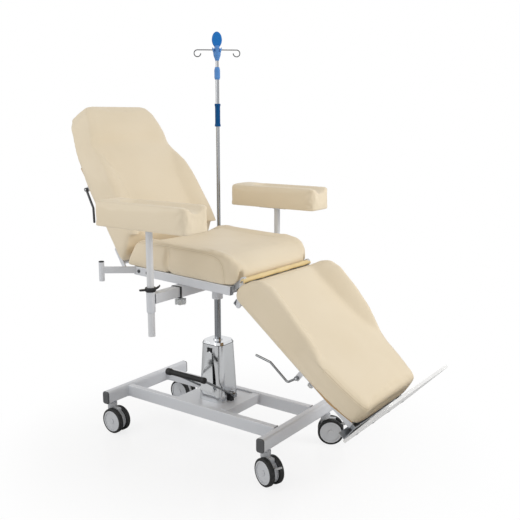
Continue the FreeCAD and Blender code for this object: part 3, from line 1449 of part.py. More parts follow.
def iv_socket(side):
    """A socket and the bar that carries it from the rear end of a seat rail."""
    centre = V(iv_x, side * iv_y, iv_socket_low_z)
    root = V(iv_arm_root_x, side * iv_arm_root_y, 0)
    way = V(iv_x - root.x, side * iv_y - root.y, 0)
    length = way.Length
    half = 0.5 * iv_arm_height
    points = [(0, iv_arm_root_z - half), (length, iv_arm_z - half), (length, iv_arm_z + half),
              (0, iv_arm_root_z + half)]
    bar = prism(points, -0.5 * iv_arm_thickness, 0.5 * iv_arm_thickness)
    bar.rotate(V(0, 0, 0), V(0, 0, 1), math.degrees(math.atan2(way.y, way.x)))
    bar.translate(root)
    low_y, high_y = sorted([0, side * seat_rail_outer_y])
    bar = bar.cut(block([2 * iv_x, low_y, 0], [0, high_y, 2 * seat_pivot_z]))
    tube = Part.makeCylinder(iv_socket_radius, iv_socket_high_z - iv_socket_low_z, centre)
    bore = Part.makeCylinder(iv_bore, iv_socket_high_z, centre.add(V(0, 0, iv_socket_floor)))
    return bar.fuse(tube).cut(bore)


def turned(points, y):
    """A round body about the pole's axis from radius and height pairs."""
    corners = [V(iv_x + radius, y, z) for radius, z in points]
    face = Part.Face(Part.makePolygon(corners + corners[:1]))
    return face.revolve(V(iv_x, y, 0), V(0, 0, 1), 360)


def iv_hook(sign):
    """One wire hook of the pole, curled down at its end."""
    bend = iv_hook_reach - iv_hook_loop_radius
    low = iv_hook_z - iv_hook_loop_radius
    slant = math.sqrt(0.5) * iv_hook_loop_radius
    line = Part.LineSegment(V(0, 0, iv_hook_z), V(bend, 0, iv_hook_z)).toShape()
    outer = Part.Arc(V(bend, 0, iv_hook_z), V(bend + slant, 0, low + slant),
                     V(iv_hook_reach, 0, low)).toShape()
    under = Part.Arc(V(iv_hook_reach, 0, low), V(bend + slant, 0, low - slant),
                     V(bend, 0, low - iv_hook_loop_radius)).toShape()
    inner = Part.Arc(V(bend, 0, low - iv_hook_loop_radius), V(bend - slant, 0, low - slant),
                     V(bend - iv_hook_loop_radius, 0, low)).toShape()
    ring = Part.Wire([Part.Circle(V(0, 0, iv_hook_z), V(1, 0, 0), iv_hook_wire_radius).toShape()])
    wire = Part.Wire([line, outer, under, inner]).makePipeShell([ring], True, False)
    wire.rotate(V(0, 0, 0), V(0, 0, 1), iv_hook_azimuth + (0 if sign > 0 else 180))
    wire.translate(V(iv_x, iv_y, 0))
    return wire


save("iv_sockets", *[iv_socket(side) for side in (-1, 1)])
pole_foot = V(iv_x, iv_y, iv_socket_low_z + iv_socket_floor + iv_foot_gap)
lower_bore = iv_upper_radius + running_gap
save("pole_lower", pipe(pole_foot, V(iv_x, iv_y, iv_tube_high_z), iv_tube_radius, lower_bore))
flange = iv_grip_flange_height
grip_outline = [(iv_tube_radius + running_gap, iv_grip_low_z), (iv_grip_radius, iv_grip_low_z),
                (iv_grip_radius, iv_grip_low_z + flange),
                (iv_grip_waist_radius, iv_grip_low_z + 2 * flange),
                (iv_grip_waist_radius, iv_grip_high_z - 2 * flange),
                (iv_grip_radius, iv_grip_high_z - flange),
                (iv_grip_radius, iv_grip_high_z), (iv_tube_radius + running_gap, iv_grip_high_z)]
save("pole_grip", turned(grip_outline, iv_y))
collar_step = iv_grip_flange_height
collar_outline = [(iv_tube_radius + running_gap, iv_collar_low_z), (iv_collar_rim_radius, iv_collar_low_z),
                  (iv_collar_radius, iv_collar_low_z + collar_step),
                  (iv_collar_radius, iv_collar_high_z - 2 * collar_step),
                  (iv_collar_rim_radius, iv_collar_high_z), (lower_bore, iv_collar_high_z),
                  (lower_bore, iv_tube_high_z + running_gap),
                  (iv_tube_radius + running_gap, iv_tube_high_z + running_gap)]
save("pole_collar", turned(collar_outline, iv_y))
hub_floor_z = iv_hub_high_z - iv_hub_cap
save("pole_upper", rod(V(iv_x, iv_y, iv_upper_low_z), V(iv_x, iv_y, hub_floor_z), iv_upper_radius))

hub_outline = [(0, iv_hub_low_z), (iv_hub_neck_radius, iv_hub_low_z),
               (iv_hub_radius, iv_hub_low_z + iv_hub_cap), (iv_hub_radius, hub_floor_z),
               (iv_hub_neck_radius, iv_hub_high_z), (0, iv_hub_high_z)]
paddle_half = 0.5 * (iv_paddle_top_z - iv_hub_high_z + iv_hub_cap)
paddle = Part.makeSphere(1, V(0, 0, 0))
shape = FreeCAD.Matrix()
shape.scale(iv_paddle_half_width, iv_paddle_half_depth, paddle_half)
paddle = paddle.transformGeometry(shape)
paddle.rotate(V(0, 0, 0), V(0, 0, 1), iv_hook_azimuth)
paddle.translate(V(iv_x, iv_y, iv_paddle_top_z - paddle_half))
hub = turned(hub_outline, iv_y).fuse(paddle)
hub = hub.cut(rod(V(iv_x, iv_y, 0), V(iv_x, iv_y, hub_floor_z), iv_upper_radius))
hooks = [iv_hook(sign).cut(rod(V(iv_x, iv_y, 0), V(iv_x, iv_y, 2 * iv_hook_z), iv_upper_radius))
         for sign in (-1, 1)]
save("pole_hooks", *hooks)
save("pole_hub", hub.cut(hooks))
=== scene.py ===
import bpy
import math
import numpy as np
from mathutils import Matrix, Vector


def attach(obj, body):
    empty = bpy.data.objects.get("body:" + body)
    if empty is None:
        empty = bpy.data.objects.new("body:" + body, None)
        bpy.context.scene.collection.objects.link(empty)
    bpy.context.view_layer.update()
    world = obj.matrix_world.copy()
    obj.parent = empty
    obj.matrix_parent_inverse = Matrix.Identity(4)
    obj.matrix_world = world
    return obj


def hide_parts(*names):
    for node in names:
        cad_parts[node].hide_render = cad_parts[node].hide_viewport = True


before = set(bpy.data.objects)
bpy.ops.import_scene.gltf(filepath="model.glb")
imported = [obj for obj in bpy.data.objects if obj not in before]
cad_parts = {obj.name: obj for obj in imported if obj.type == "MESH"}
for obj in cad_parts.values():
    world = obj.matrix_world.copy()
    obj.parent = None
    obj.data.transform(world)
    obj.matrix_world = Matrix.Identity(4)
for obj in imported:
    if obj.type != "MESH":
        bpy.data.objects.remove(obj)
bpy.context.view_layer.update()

# Camera: the photograph was taken from the foot end, a little above the arm pads, with a
# short telephoto lens. The frame is square.
scene = bpy.context.scene
scene.view_settings.view_transform = "Standard"
lens = bpy.data.cameras.new("photo_camera")
lens.lens = 51.58
lens.sensor_width = 36.0
lens.clip_end = 60.0
camera = bpy.data.objects.new("photo_camera", lens)
camera.location = (2.0382, -2.6818, 1.5536)
tilt_down, turn_left = 10.974, 35.706
camera.rotation_euler = (math.radians(90 - tilt_down), 0, math.radians(turn_left))
scene.collection.objects.link(camera)
scene.camera = camera

# Base frame: two flat oval crossbars, two rails and the pump's bed, welded from mild steel
# tube and powder coated in silver grey. The coat gives a satin face with fine orange peel.


def linear(colour):
    """An sRGB hex colour as the linear values that a shader takes."""
    shares = [int(colour[place:place + 2], 16) / 255 for place in (1, 3, 5)]
    return [share / 12.92 if share <= 0.04045 else ((share + 0.055) / 1.055) ** 2.4 for share in shares] + [1]


def add(material, kind, inputs=None, **settings):
    """Adds one node with its settings, and gives each input a value or a link."""
    node = material.node_tree.nodes.new("ShaderNode" + kind)
    for name, value in settings.items():
        setattr(node, name, value)
    for name, value in (inputs or {}).items():
        if isinstance(value, bpy.types.NodeSocket):
            material.node_tree.links.new(value, node.inputs[name])
        else:
            node.inputs[name].default_value = value
    return node


def material_of(name, **values):
    """A material whose own shader has these values, with its links still to come."""
    material = bpy.data.materials.new(name)
    material.use_nodes = True
    shader = material.node_tree.nodes["Principled BSDF"]
    for socket, value in values.items():
        shader.inputs[socket.replace("_", " ")].default_value = value
    return material


def wire(material, **links):
    """Links sockets to the shader of a material."""
    shader = material.node_tree.nodes["Principled BSDF"]
    for socket, source in links.items():
        material.node_tree.links.new(source, shader.inputs[socket.replace("_", " ")])


def dress(material, *names):
    """Gives CAD nodes a finish."""
    for name in names:
        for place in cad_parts[name].material_slots:
            place.material = material


def coated(name, colour, scuffed, roughness):
    """Powder coat: colour drift of the batch, orange peel, and scuffs where shoes reach it."""
    paint = material_of(name, Metallic=0.15)
    where = add(paint, "TexCoord").outputs["Object"]
    drift = add(paint, "TexNoise", {"Vector": where, "Scale": 1 / 0.35, "Detail": 2})
    speck = add(paint, "TexNoise", {"Vector": where, "Scale": 1 / 0.0012, "Detail": 1})
    both = add(paint, "Math", {0: drift.outputs["Fac"], 1: speck.outputs["Fac"]}, operation="MULTIPLY")
    tone = add(paint, "MixRGB", {"Fac": both.outputs[0], "Color1": linear(colour), "Color2": linear(scuffed)})
    height = add(paint, "SeparateXYZ", {"Vector": where})
    low = add(paint, "MapRange", {"Value": height.outputs["Z"], "From Min": 0.25, "From Max": 0.14,
                                  "To Min": 0, "To Max": 1})
    scratch = add(paint, "TexNoise", {"Vector": where, "Scale": 1 / 0.02, "Detail": 6, "Roughness": 0.75})
    worn = add(paint, "MapRange", {"Value": scratch.outputs["Fac"], "From Min": 0.6, "From Max": 0.72,
                                   "To Min": 0, "To Max": 0.35})
    marks = add(paint, "Math", {0: low.outputs[0], 1: worn.outputs[0]}, operation="MULTIPLY")
    dusty = add(paint, "MixRGB", {"Fac": marks.outputs[0], "Color1": tone.outputs[0],
                                  "Color2": linear("#8F9092")})
    gloss = add(paint, "MapRange", {"Value": drift.outputs["Fac"], "To Min": roughness - 0.05,
                                    "To Max": roughness + 0.07})
    peel = add(paint, "TexNoise", {"Vector": where, "Scale": 1 / 0.0035, "Detail": 1})
    bump = add(paint, "Bump", {"Height": peel.outputs["Fac"], "Strength": 0.12, "Distance": 0.0002})
    wire(paint, Base_Color=dusty.outputs[0], Roughness=gloss.outputs[0], Normal=bump.outputs[0])
    return paint


frame_coat = coated("powder_coat_silver", "#DADCE0", "#CDCFD3", 0.36)
dress(frame_coat, "base_frame", "seat_frame", "iv_sockets", "arm_sleeve", "column_head", "arm_bar_right",
      "arm_bar_left", "back_frame", "leg_frame", "arm_mount_right", "arm_mount_left")


def apply(piece, kind, **settings):
    """Adds one modifier with its settings and applies it."""
    bpy.context.view_layer.objects.active = piece
    modifier = piece.modifiers.new(kind, kind)
    for name, value in settings.items():
        setattr(modifier, name, value)
    bpy.ops.object.modifier_apply(modifier=modifier.name)


def curve_to_mesh(name, radius, sides=2):
    """Makes the active edge loop or curve a round bead or cord of its own mesh."""
    piece = bpy.context.object
    if piece.type == "MESH":
        bpy.ops.object.convert(target="CURVE")
        piece = bpy.context.object
    piece.data.bevel_depth = radius
    piece.data.bevel_resolution = sides
    bpy.ops.object.convert(target="MESH")
    piece = bpy.context.object
    piece.name = name
    return piece


def settle(piece, name, material, body, angle=35, replaces=None):
    """Leaves a finished piece at the origin with its place in its mesh, dressed and riding."""
    bpy.ops.object.select_all(action="DESELECT")
    piece.select_set(True)
    bpy.context.view_layer.objects.active = piece
    bpy.ops.object.transform_apply(location=True, rotation=True, scale=True)
    bpy.ops.object.mode_set(mode="EDIT")
    bpy.ops.mesh.select_all(action="SELECT")
    bpy.ops.mesh.remove_doubles(threshold=0.00002)
    bpy.ops.mesh.normals_make_consistent(inside=False)
    bpy.ops.object.mode_set(mode="OBJECT")
    bpy.ops.object.shade_smooth_by_angle(angle=math.radians(angle))
    piece.name = name
    piece.data.materials.clear()
    piece.data.materials.append(material)
    if replaces:
        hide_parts(replaces)
    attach(piece, body)
    bpy.ops.object.select_all(action="DESELECT")
    return piece


# Weld beads where the rails meet the crossbars and the cross members meet the rails: fillet
# welds under the same coat, 5 mm across.
column = -0.1386
bpy.ops.object.select_all(action="DESELECT")
beads = []
rail_y, rail_z, rail_size, rail_ends_x = 0.145, 0.184, (0.030, 0.058), (-0.460, 0.439)
rail_joints = [("x", x, (side * rail_y, rail_z), rail_size) for x in rail_ends_x for side in (-1, 1)]
member_end_y, member_width = 0.130, 0.040
members = ((0.133, 0.190, 0.046), (-0.140, 0.182, 0.030))
member_joints = [("y", side * member_end_y, (x, z), (member_width, depth)) for side in (-1, 1)
                 for x, z, depth in members]
tube_corner, bead_radius = 0.004, 0.0025
for way, reach, middle, size in rail_joints + member_joints:
    if way == "x":
        place, turn = (column + reach, middle[0], middle[1]), (0, math.radians(90), 0)
    else:
        place, turn = (column + middle[0], reach, middle[1]), (math.radians(90), 0, 0)
    bpy.ops.mesh.primitive_plane_add(size=1, location=place, rotation=turn)
    bpy.context.object.scale = (size[1], size[0], 1) if way == "x" else (size[0], size[1], 1)
    bpy.ops.object.transform_apply(location=False, rotation=False, scale=True)
    bpy.ops.object.mode_set(mode="EDIT")
    bpy.ops.mesh.bevel(offset=tube_corner, segments=3, affect="VERTICES")
    bpy.ops.mesh.delete(type="ONLY_FACE")
    bpy.ops.object.mode_set(mode="OBJECT")
    beads.append(curve_to_mesh("weld_bead", bead_radius))
    bpy.ops.object.select_all(action="DESELECT")
for bead in beads:
    bead.select_set(True)
bpy.context.view_layer.objects.active = beads[0]
bpy.ops.object.join()
settle(bpy.context.object, "weld_beads", frame_coat, "base", angle=60)

# End caps: domed caps pressed into the crossbars' ends, injection moulded in grey nylon,
# with a fine spark-eroded grain.


def moulded(name, colour, roughness, grain=0.0009, depth=0.00008, shine=0.5):
    """Moulded plastic: an even colour with slight flow marks and a fine mould grain."""
    plastic = material_of(name, Roughness=roughness, Specular_IOR_Level=shine)
    where = add(plastic, "TexCoord").outputs["Object"]
    flow = add(plastic, "TexNoise", {"Vector": where, "Scale": 1 / 0.05, "Detail": 3})
    pale = [min(1, share * 1.18) for share in linear(colour)[:3]] + [1]
    tone = add(plastic, "MixRGB", {"Fac": flow.outputs["Fac"], "Color1": linear(colour), "Color2": pale})
    grit = add(plastic, "TexNoise", {"Vector": where, "Scale": 1 / grain, "Detail": 2})
    bump = add(plastic, "Bump", {"Height": grit.outputs["Fac"], "Strength": 0.35, "Distance": depth})
    wire(plastic, Base_Color=tone.outputs[0], Normal=bump.outputs[0])
    return plastic


dress(moulded("nylon_mid_grey", "#4E4F51", 0.5), "base_end_caps")

# Casters: twin wheels on a moulded nylon housing, with thermoplastic rubber tyres that
# have picked up floor dust, and toe brakes on the two at the foot end.
corners = ("front_right", "front_left", "rear_right", "rear_left")
housing_nylon = moulded("nylon_light_grey", "#B4B6B9", 0.42)
wheel_nylon = moulded("nylon_pale_grey", "#C4C6C9", 0.38)
brake_nylon = moulded("nylon_brake_grey", "#AAABAC", 0.42)
tyre_rubber = material_of("rubber_black", Roughness=0.62)
where = add(tyre_rubber, "TexCoord").outputs["Object"]
dust = add(tyre_rubber, "TexNoise", {"Vector": where, "Scale": 1 / 0.012, "Detail": 5, "Roughness": 0.7})
film = add(tyre_rubber, "MapRange", {"Value": dust.outputs["Fac"], "From Min": 0.45, "From Max": 0.75,
                                     "To Min": 0, "To Max": 0.3})
tone = add(tyre_rubber, "MixRGB", {"Fac": film.outputs[0], "Color1": linear("#121314"),
                                   "Color2": linear("#3C3D40")})
bump = add(tyre_rubber, "Bump", {"Height": dust.outputs["Fac"], "Strength": 0.2, "Distance": 0.0003})
wire(tyre_rubber, Base_Color=tone.outputs[0], Normal=bump.outputs[0])
for corner in corners:
    dress(housing_nylon, "caster_housing_" + corner)
    dress(wheel_nylon, "caster_wheels_" + corner)
    dress(tyre_rubber, "caster_tyres_" + corner)
dress(brake_nylon, "brake_pedal_front_right", "brake_pedal_front_left")

# Pump: an eight-sided cover pressed from sheet and chrome plated, over a steel cylinder.
# Chrome gives sharp reflections with faint wiping marks.


def plated(name, colour, low, high):
    """Chrome plate on polished steel, with wiping smears in its gloss."""
    chrome = material_of(name, Metallic=1, Base_Color=linear(colour))
    where = add(chrome, "TexCoord").outputs["Object"]
    stretch = add(chrome, "Mapping", {"Vector": where, "Scale": (1, 1, 0.25)})
    smear = add(chrome, "TexNoise", {"Vector": stretch.outputs[0], "Scale": 1 / 0.03, "Detail": 4})
    gloss = add(chrome, "MapRange", {"Value": smear.outputs["Fac"], "From Min": 0.35, "From Max": 0.7,
                                     "To Min": low, "To Max": high})
    wave = add(chrome, "TexNoise", {"Vector": where, "Scale": 1 / 0.06, "Detail": 1})
    bump = add(chrome, "Bump", {"Height": wave.outputs["Fac"], "Strength": 0.05, "Distance": 0.001})
    wire(chrome, Roughness=gloss.outputs[0], Normal=bump.outputs[0])
    return chrome


chrome = plated("chrome_plate", "#DADCDE", 0.1, 0.2)
grey_steel = plated("plated_steel_grey", "#8E9092", 0.2, 0.32)
zinc = plated("zinc_plate", "#A4A7AA", 0.28, 0.45)
dark_zinc = plated("zinc_plate_black", "#55575A", 0.3, 0.45)
dress(chrome, "pump_cover")
# The pole tubes and the column's rod take darker copies of the pump cover's chrome colour: painted darker
# reflections.
dress(plated("chrome_tube_painted_dark", "#A9ABAE", 0.2, 0.3), "pole_upper", "pole_lower")
dress(plated("chrome_rod_painted_dark", "#93969A", 0.14, 0.24), "column_rod")
dress(grey_steel, "leg_lever", "pedal_frame")
dress(zinc, "pump_cylinder", "pump_bolts", "foot_slides")
dress(dark_zinc, "seat_bolts", "back_lever", "pole_hooks")
black_nylon = moulded("nylon_black", "#17181A", 0.42)
dress(black_nylon, "pedal_blocks", "frame_bushes")

# Lid seam and tongue gaps: painted shade. A black cord lies in the seam between the pump's cover and its lid,
# and two more lie beside the flared tongue, where they close the gap to the cover. Their black stands in for
# the shade in these gaps.
shade_cord_black = moulded("black_painted_shade", "#0C0D0E", 0.55)
lid_width, lid_corner, lid_seam_z, cord_radius = 0.1234, 0.0335, 0.48475, 0.0013
bpy.ops.mesh.primitive_plane_add(size=lid_width, location=(column, 0, lid_seam_z))
bpy.ops.object.mode_set(mode="EDIT")
bpy.ops.mesh.bevel(offset=lid_corner, segments=8, affect="VERTICES")
bpy.ops.mesh.delete(type="ONLY_FACE")
bpy.ops.object.mode_set(mode="OBJECT")
settle(curve_to_mesh("lid_seam_painted_shade", cord_radius, 3), "lid_seam_painted_shade", shade_cord_black, "base",
       angle=60)
# The two cords beside the tongue are black as painted shade for the gaps at its sides.
for side, sign in (("rear", -1), ("front", 1)):
    bpy.ops.curve.primitive_bezier_curve_add(location=(0, 0, 0))
    edging = bpy.context.object
    points = edging.data.splines[0].bezier_points
    top = (column + sign * 0.0148, -0.0645, 0.452)
    foot = (column + sign * 0.0425, -0.0795, 0.262)
    for point, place, before, after in ((points[0], top, (0, 0, 0.03), (0, -0.0028, -0.075)),
                                        (points[1], foot, (-sign * 0.016, 0.0016, 0.062), (0, 0, -0.03))):
        point.co = place
        point.handle_left_type = point.handle_right_type = "FREE"
        point.handle_left = Vector(place) + Vector(before)
        point.handle_right = Vector(place) + Vector(after)
    settle(curve_to_mesh("tongue_gap_painted_shade_" + side, cord_radius, 2), "tongue_gap_painted_shade_" + side, shade_cord_black,
           "base", angle=60)

# Latch of the tongue: a forked catch of black nylon in the slot above it.
catch_width, catch_height, fork_half_width, fork_depth, notch_depth, waist_share = (
    0.027, 0.022, 0.0095, 0.007, 0.006, 0.86)
bpy.ops.mesh.primitive_grid_add(x_subdivisions=6, y_subdivisions=3, size=1, location=(column, -0.0655, 0.459),
                                rotation=(math.radians(90), 0, 0))
catch = bpy.context.object
catch.scale = (catch_width, catch_height, 1)
bpy.ops.object.transform_apply(location=False, rotation=False, scale=True)
for corner in catch.data.vertices:
    rise = corner.co.y / (catch_height / 2)
    middle = 1 - min(1, abs(corner.co.x) / fork_half_width)
    if rise < -0.5:
        corner.co.y += fork_depth * middle
    elif rise > 0.5:
        corner.co.y -= notch_depth * middle
    corner.co.x *= waist_share + (1 - waist_share) * abs(rise)
apply(catch, "SOLIDIFY", thickness=0.004, offset=0)
apply(catch, "BEVEL", width=0.0008, segments=2, limit_method="ANGLE")
settle(catch, "tongue_catch", black_nylon, "base")

# Pedal grip: a ribbed sleeve of black rubber with a thick collar at its outer end, pushed
# over the cross rod. The ribs are 1 mm deep, 7 mm apart.
grip_rubber = moulded("rubber_grip", "#0D0E0F", 0.6, grain=0.0011, depth=0.0001)
rod_y, rod_z = -0.236, 0.380
rib_count, rib_pitch, rib_foot, rib_top = 26, 0.0068, 0.0118, 0.0128
rings = [(-0.116, 0.0105), (-0.1145, 0.0145), (-0.111, 0.0162), (-0.093, 0.0162), (-0.089, 0.0148),
         (-0.086, 0.0125)]
for step in range(rib_count):
    start = -0.083 + step * rib_pitch
    rings += [(start, rib_foot), (start + 0.0014, rib_top), (start + 0.0040, rib_top),
              (start + 0.0054, rib_foot)]
rings += [(0.0955, 0.0126), (0.098, 0.0145), (0.1125, 0.0145), (0.1148, 0.0132), (0.116, 0.0100)]
bpy.ops.mesh.primitive_circle_add(vertices=28, radius=rings[0][1], fill_type="NGON",
                                  location=(column + rings[0][0], rod_y, rod_z),
                                  rotation=(0, math.radians(90), 0))
bpy.ops.object.mode_set(mode="EDIT")
for (reach, radius), (next_reach, next_radius) in zip(rings, rings[1:]):
    bpy.ops.mesh.extrude_region_move(TRANSFORM_OT_translate={"value": (next_reach - reach, 0, 0)})
    share = next_radius / radius
    bpy.ops.transform.resize(value=(1, share, share), center_override=(column + next_reach, rod_y, rod_z))
bpy.ops.object.mode_set(mode="OBJECT")
settle(bpy.context.object, "pedal_grip_rubber", grip_rubber, "pedal", angle=40,
       replaces="pedal_grip")

# Seat board, back board and leg board: 10 to 12 mm birch plywood under the upholstery.
plywood = material_of("plywood_birch", Roughness=0.6)
where = add(plywood, "TexCoord").outputs["Object"]
long_grain = add(plywood, "Mapping", {"Vector": where, "Scale": (0.12, 1, 1)})
fibre = add(plywood, "TexNoise", {"Vector": long_grain.outputs[0], "Scale": 1 / 0.006, "Detail": 6})
tone = add(plywood, "MixRGB", {"Fac": fibre.outputs["Fac"], "Color1": linear("#C9A877"),
                               "Color2": linear("#A98456")})
bump = add(plywood, "Bump", {"Height": fibre.outputs["Fac"], "Strength": 0.3, "Distance": 0.0003})
wire(plywood, Base_Color=tone.outputs[0], Normal=bump.outputs[0])
dress(plywood, "seat_board", "back_board", "leg_board")

# Seat cushion: moulded foam under cream vinyl, sewn from a top panel that rolls over the
# front, and two side panels, and stapled under the board. The vinyl is smooth and soft.
seat_turn, seat_origin = math.radians(2.3), (column, 0.822)


def own_frame(points, turn, origin):
    """Points told along a leaning piece, across it and out of its upholstery."""
    reach = points[:, 0] - origin[0]
    rise = points[:, 2] - origin[1]
    return (reach * math.cos(turn) - rise * math.sin(turn), points[:, 1],
            reach * math.sin(turn) + rise * math.cos(turn))


def points_of(piece):
    values = np.empty(len(piece.data.vertices) * 3)
    piece.data.vertices.foreach_get("co", values)
    return values.reshape(-1, 3)


def normals_of(piece):
    values = np.empty(len(piece.data.vertices) * 3)
    piece.data.vertex_normals.foreach_get("vector", values)
    return values.reshape(-1, 3)


def move_to(piece, points):
    piece.data.vertices.foreach_set("co", points.ravel())
    piece.data.update()


def upholster(name, node, body, turn, origin, base, voxel=0.0075, slack=0.003, swell=0.006, soften=6):
    """A cushion made from its CAD solid: drawn in a little, then blown up by air pressure
    as foam fills a cover, with its underside held flat on the board."""
    bpy.ops.object.select_all(action="DESELECT")
    piece = bpy.data.objects.new(name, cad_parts[node].data.copy())
    scene.collection.objects.link(piece)
    bpy.context.view_layer.objects.active = piece
    piece.select_set(True)
    bpy.ops.object.mode_set(mode="EDIT")
    bpy.ops.mesh.select_all(action="SELECT")
    bpy.ops.mesh.remove_doubles(threshold=0.00005)
    bpy.ops.object.mode_set(mode="OBJECT")
    apply(piece, "REMESH", mode="VOXEL", voxel_size=voxel)
    apply(piece, "SMOOTH", factor=0.5, iterations=soften)
    points = points_of(piece)
    height = own_frame(points, turn, origin)[2]
    free = np.clip((height - base - 0.006) / 0.02, 0, 1)[:, None]
    start = points - normals_of(piece) * slack * free
    move_to(piece, start)
    held = piece.vertex_groups.new(name="held")
    for index in np.nonzero(free[:, 0] == 0)[0]:
        held.add([int(index)], 1, "REPLACE")
    foam = piece.modifiers.new("foam", "CLOTH")
    foam.settings.quality = 4
    foam.settings.tension_stiffness = 25
    foam.settings.compression_stiffness = 25
    foam.settings.shear_stiffness = 12
    foam.settings.bending_stiffness = 3
    foam.settings.use_pressure = True
    foam.settings.uniform_pressure_force = 4
    foam.settings.effector_weights.gravity = 0
    foam.settings.vertex_group_mass = "held"
    for step in range(1, 21):
        scene.frame_set(step)
    bpy.ops.object.modifier_apply(modifier="foam")
    scene.frame_set(1)
    piece.vertex_groups.clear()
    travel = points_of(piece) - start
    length = np.linalg.norm(travel, axis=1, keepdims=True)
    move_to(piece, start + travel * np.minimum(1, swell / np.maximum(length, 1e-9)) * free)
    apply(piece, "SMOOTH", factor=0.5, iterations=soften)
    apply(piece, "SUBSURF", levels=1, render_levels=1)
    for label in ("seam", "along"):
        layer = piece.data.attributes.new(label, "FLOAT", "POINT")
        layer.data.foreach_set("value", np.full(len(piece.data.vertices), 0.05, np.float32))
    bpy.ops.object.shade_smooth()
    piece.data.materials.clear()
    piece.data.materials.append(vinyl)
    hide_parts(node)
    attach(piece, body)
    return piece


def sew(piece, turn, origin, line, near=0.0, depth=0.0015):
    """Marks a seam on a cushion: how far each point lies from a line drawn in its side view, where the vinyl
    paints shade in the seam's groove, and how far along the line it is, for the stitches."""
    reach, across, rise = own_frame(points_of(piece), turn, origin)
    best = np.full(len(reach), 9.0)
    signed = np.full(len(reach), 9.0)
    along = np.zeros(len(reach))
    passed = 0
    for (x, z), (next_x, next_z) in zip(line, line[1:]):
        length = math.hypot(next_x - x, next_z - z)
        way_x, way_z = (next_x - x) / length, (next_z - z) / length
        place = np.clip((reach - x) * way_x + (rise - z) * way_z, 0, length)
        off_x, off_z = reach - x - place * way_x, rise - z - place * way_z
        distance = np.hypot(off_x, off_z)
        side = np.sign(way_x * off_z - way_z * off_x)
        closer = distance < best
        best = np.where(closer, distance, best)
        signed = np.where(closer, distance * np.where(side == 0, 1, side), signed)
        along = np.where(closer, passed + place, along)
        passed += length
    signed = np.where(np.abs(across) < near, 0.05, signed)
    for label, values in (("seam", signed), ("along", along)):
        piece.data.attributes[label].data.foreach_set("value", values.astype(np.float32))
    normals = normals_of(piece)
    pinch = depth * np.exp(-(signed / 0.006) ** 2)
    move_to(piece, points_of(piece) - normals * pinch[:, None])


# Vinyl: calendered PVC on a knit. It has a low, even gloss and colour that hardly drifts. The
# grain is drawn at 2.4 mm, coarser than the real 1 mm, so that it still shows from a step away.
vinyl = material_of("vinyl_cream", Sheen_Weight=0.08, Specular_IOR_Level=0.42)
where = add(vinyl, "TexCoord").outputs["Object"]
cloudy = add(vinyl, "TexNoise", {"Vector": where, "Scale": 1 / 0.22, "Detail": 3})
tone = add(vinyl, "MixRGB", {"Fac": cloudy.outputs["Fac"], "Color1": linear("#E8DAC1"),
                             "Color2": linear("#DFCFB2")})
seam = add(vinyl, "Attribute", attribute_name="seam")
along = add(vinyl, "Attribute", attribute_name="along")
gap = add(vinyl, "Math", {0: seam.outputs["Fac"]}, operation="ABSOLUTE")
line = add(vinyl, "MapRange", {"Value": gap.outputs[0], "From Min": 0.0003, "From Max": 0.0018,
                               "To Min": 0.45, "To Max": 0}, interpolation_type="SMOOTHSTEP")
row = add(vinyl, "Math", {0: gap.outputs[0], 1: 0.006}, operation="SUBTRACT")
row_gap = add(vinyl, "Math", {0: row.outputs[0]}, operation="ABSOLUTE")
row_line = add(vinyl, "MapRange", {"Value": row_gap.outputs[0], "From Min": 0.0003, "From Max": 0.0011,
                                   "To Min": 1, "To Max": 0}, interpolation_type="SMOOTHSTEP")
stitch_pitch = 0.0055
pitch = add(vinyl, "Math", {0: along.outputs["Fac"], 1: 2 * math.pi / stitch_pitch}, operation="MULTIPLY")
beat = add(vinyl, "Math", {0: pitch.outputs[0]}, operation="SINE")
dash = add(vinyl, "MapRange", {"Value": beat.outputs[0], "From Min": -0.5, "From Max": 0})
stitch = add(vinyl, "Math", {0: row_line.outputs[0], 1: dash.outputs[0]}, operation="MULTIPLY")
# Near the seam line the vinyl turns a deeper tan: painted shade in the seam's groove.
seam_painted_shade = add(vinyl, "MixRGB", {"Fac": line.outputs[0], "Color1": tone.outputs[0], "Color2": linear("#B9A37C")})
thread = add(vinyl, "MixRGB", {"Fac": stitch.outputs[0], "Color1": seam_painted_shade.outputs[0],
                               "Color2": linear("#D8C7A6")})
pebble = add(vinyl, "TexVoronoi", {"Vector": where, "Scale": 1 / 0.0024, "Smoothness": 0.6},
             feature="SMOOTH_F1")
wave = add(vinyl, "TexNoise", {"Vector": where, "Scale": 1 / 0.045, "Detail": 2})
fine = add(vinyl, "Bump", {"Height": pebble.outputs["Distance"], "Strength": 0.16, "Distance": 0.0003})
soft = add(vinyl, "Bump", {"Height": wave.outputs["Fac"], "Strength": 0.25, "Distance": 0.0012,
                           "Normal": fine.outputs[0]})
cut = add(vinyl, "Bump", {"Height": line.outputs[0], "Strength": 1, "Distance": 0.0012,
                          "Normal": soft.outputs[0]}, invert=True)
raised = add(vinyl, "Bump", {"Height": stitch.outputs[0], "Strength": 1, "Distance": 0.0004,
                             "Normal": cut.outputs[0]})
gloss = add(vinyl, "MapRange", {"Value": cloudy.outputs["Fac"], "To Min": 0.4, "To Max": 0.5})
wire(vinyl, Base_Color=thread.outputs[0], Roughness=gloss.outputs[0], Normal=raised.outputs[0])

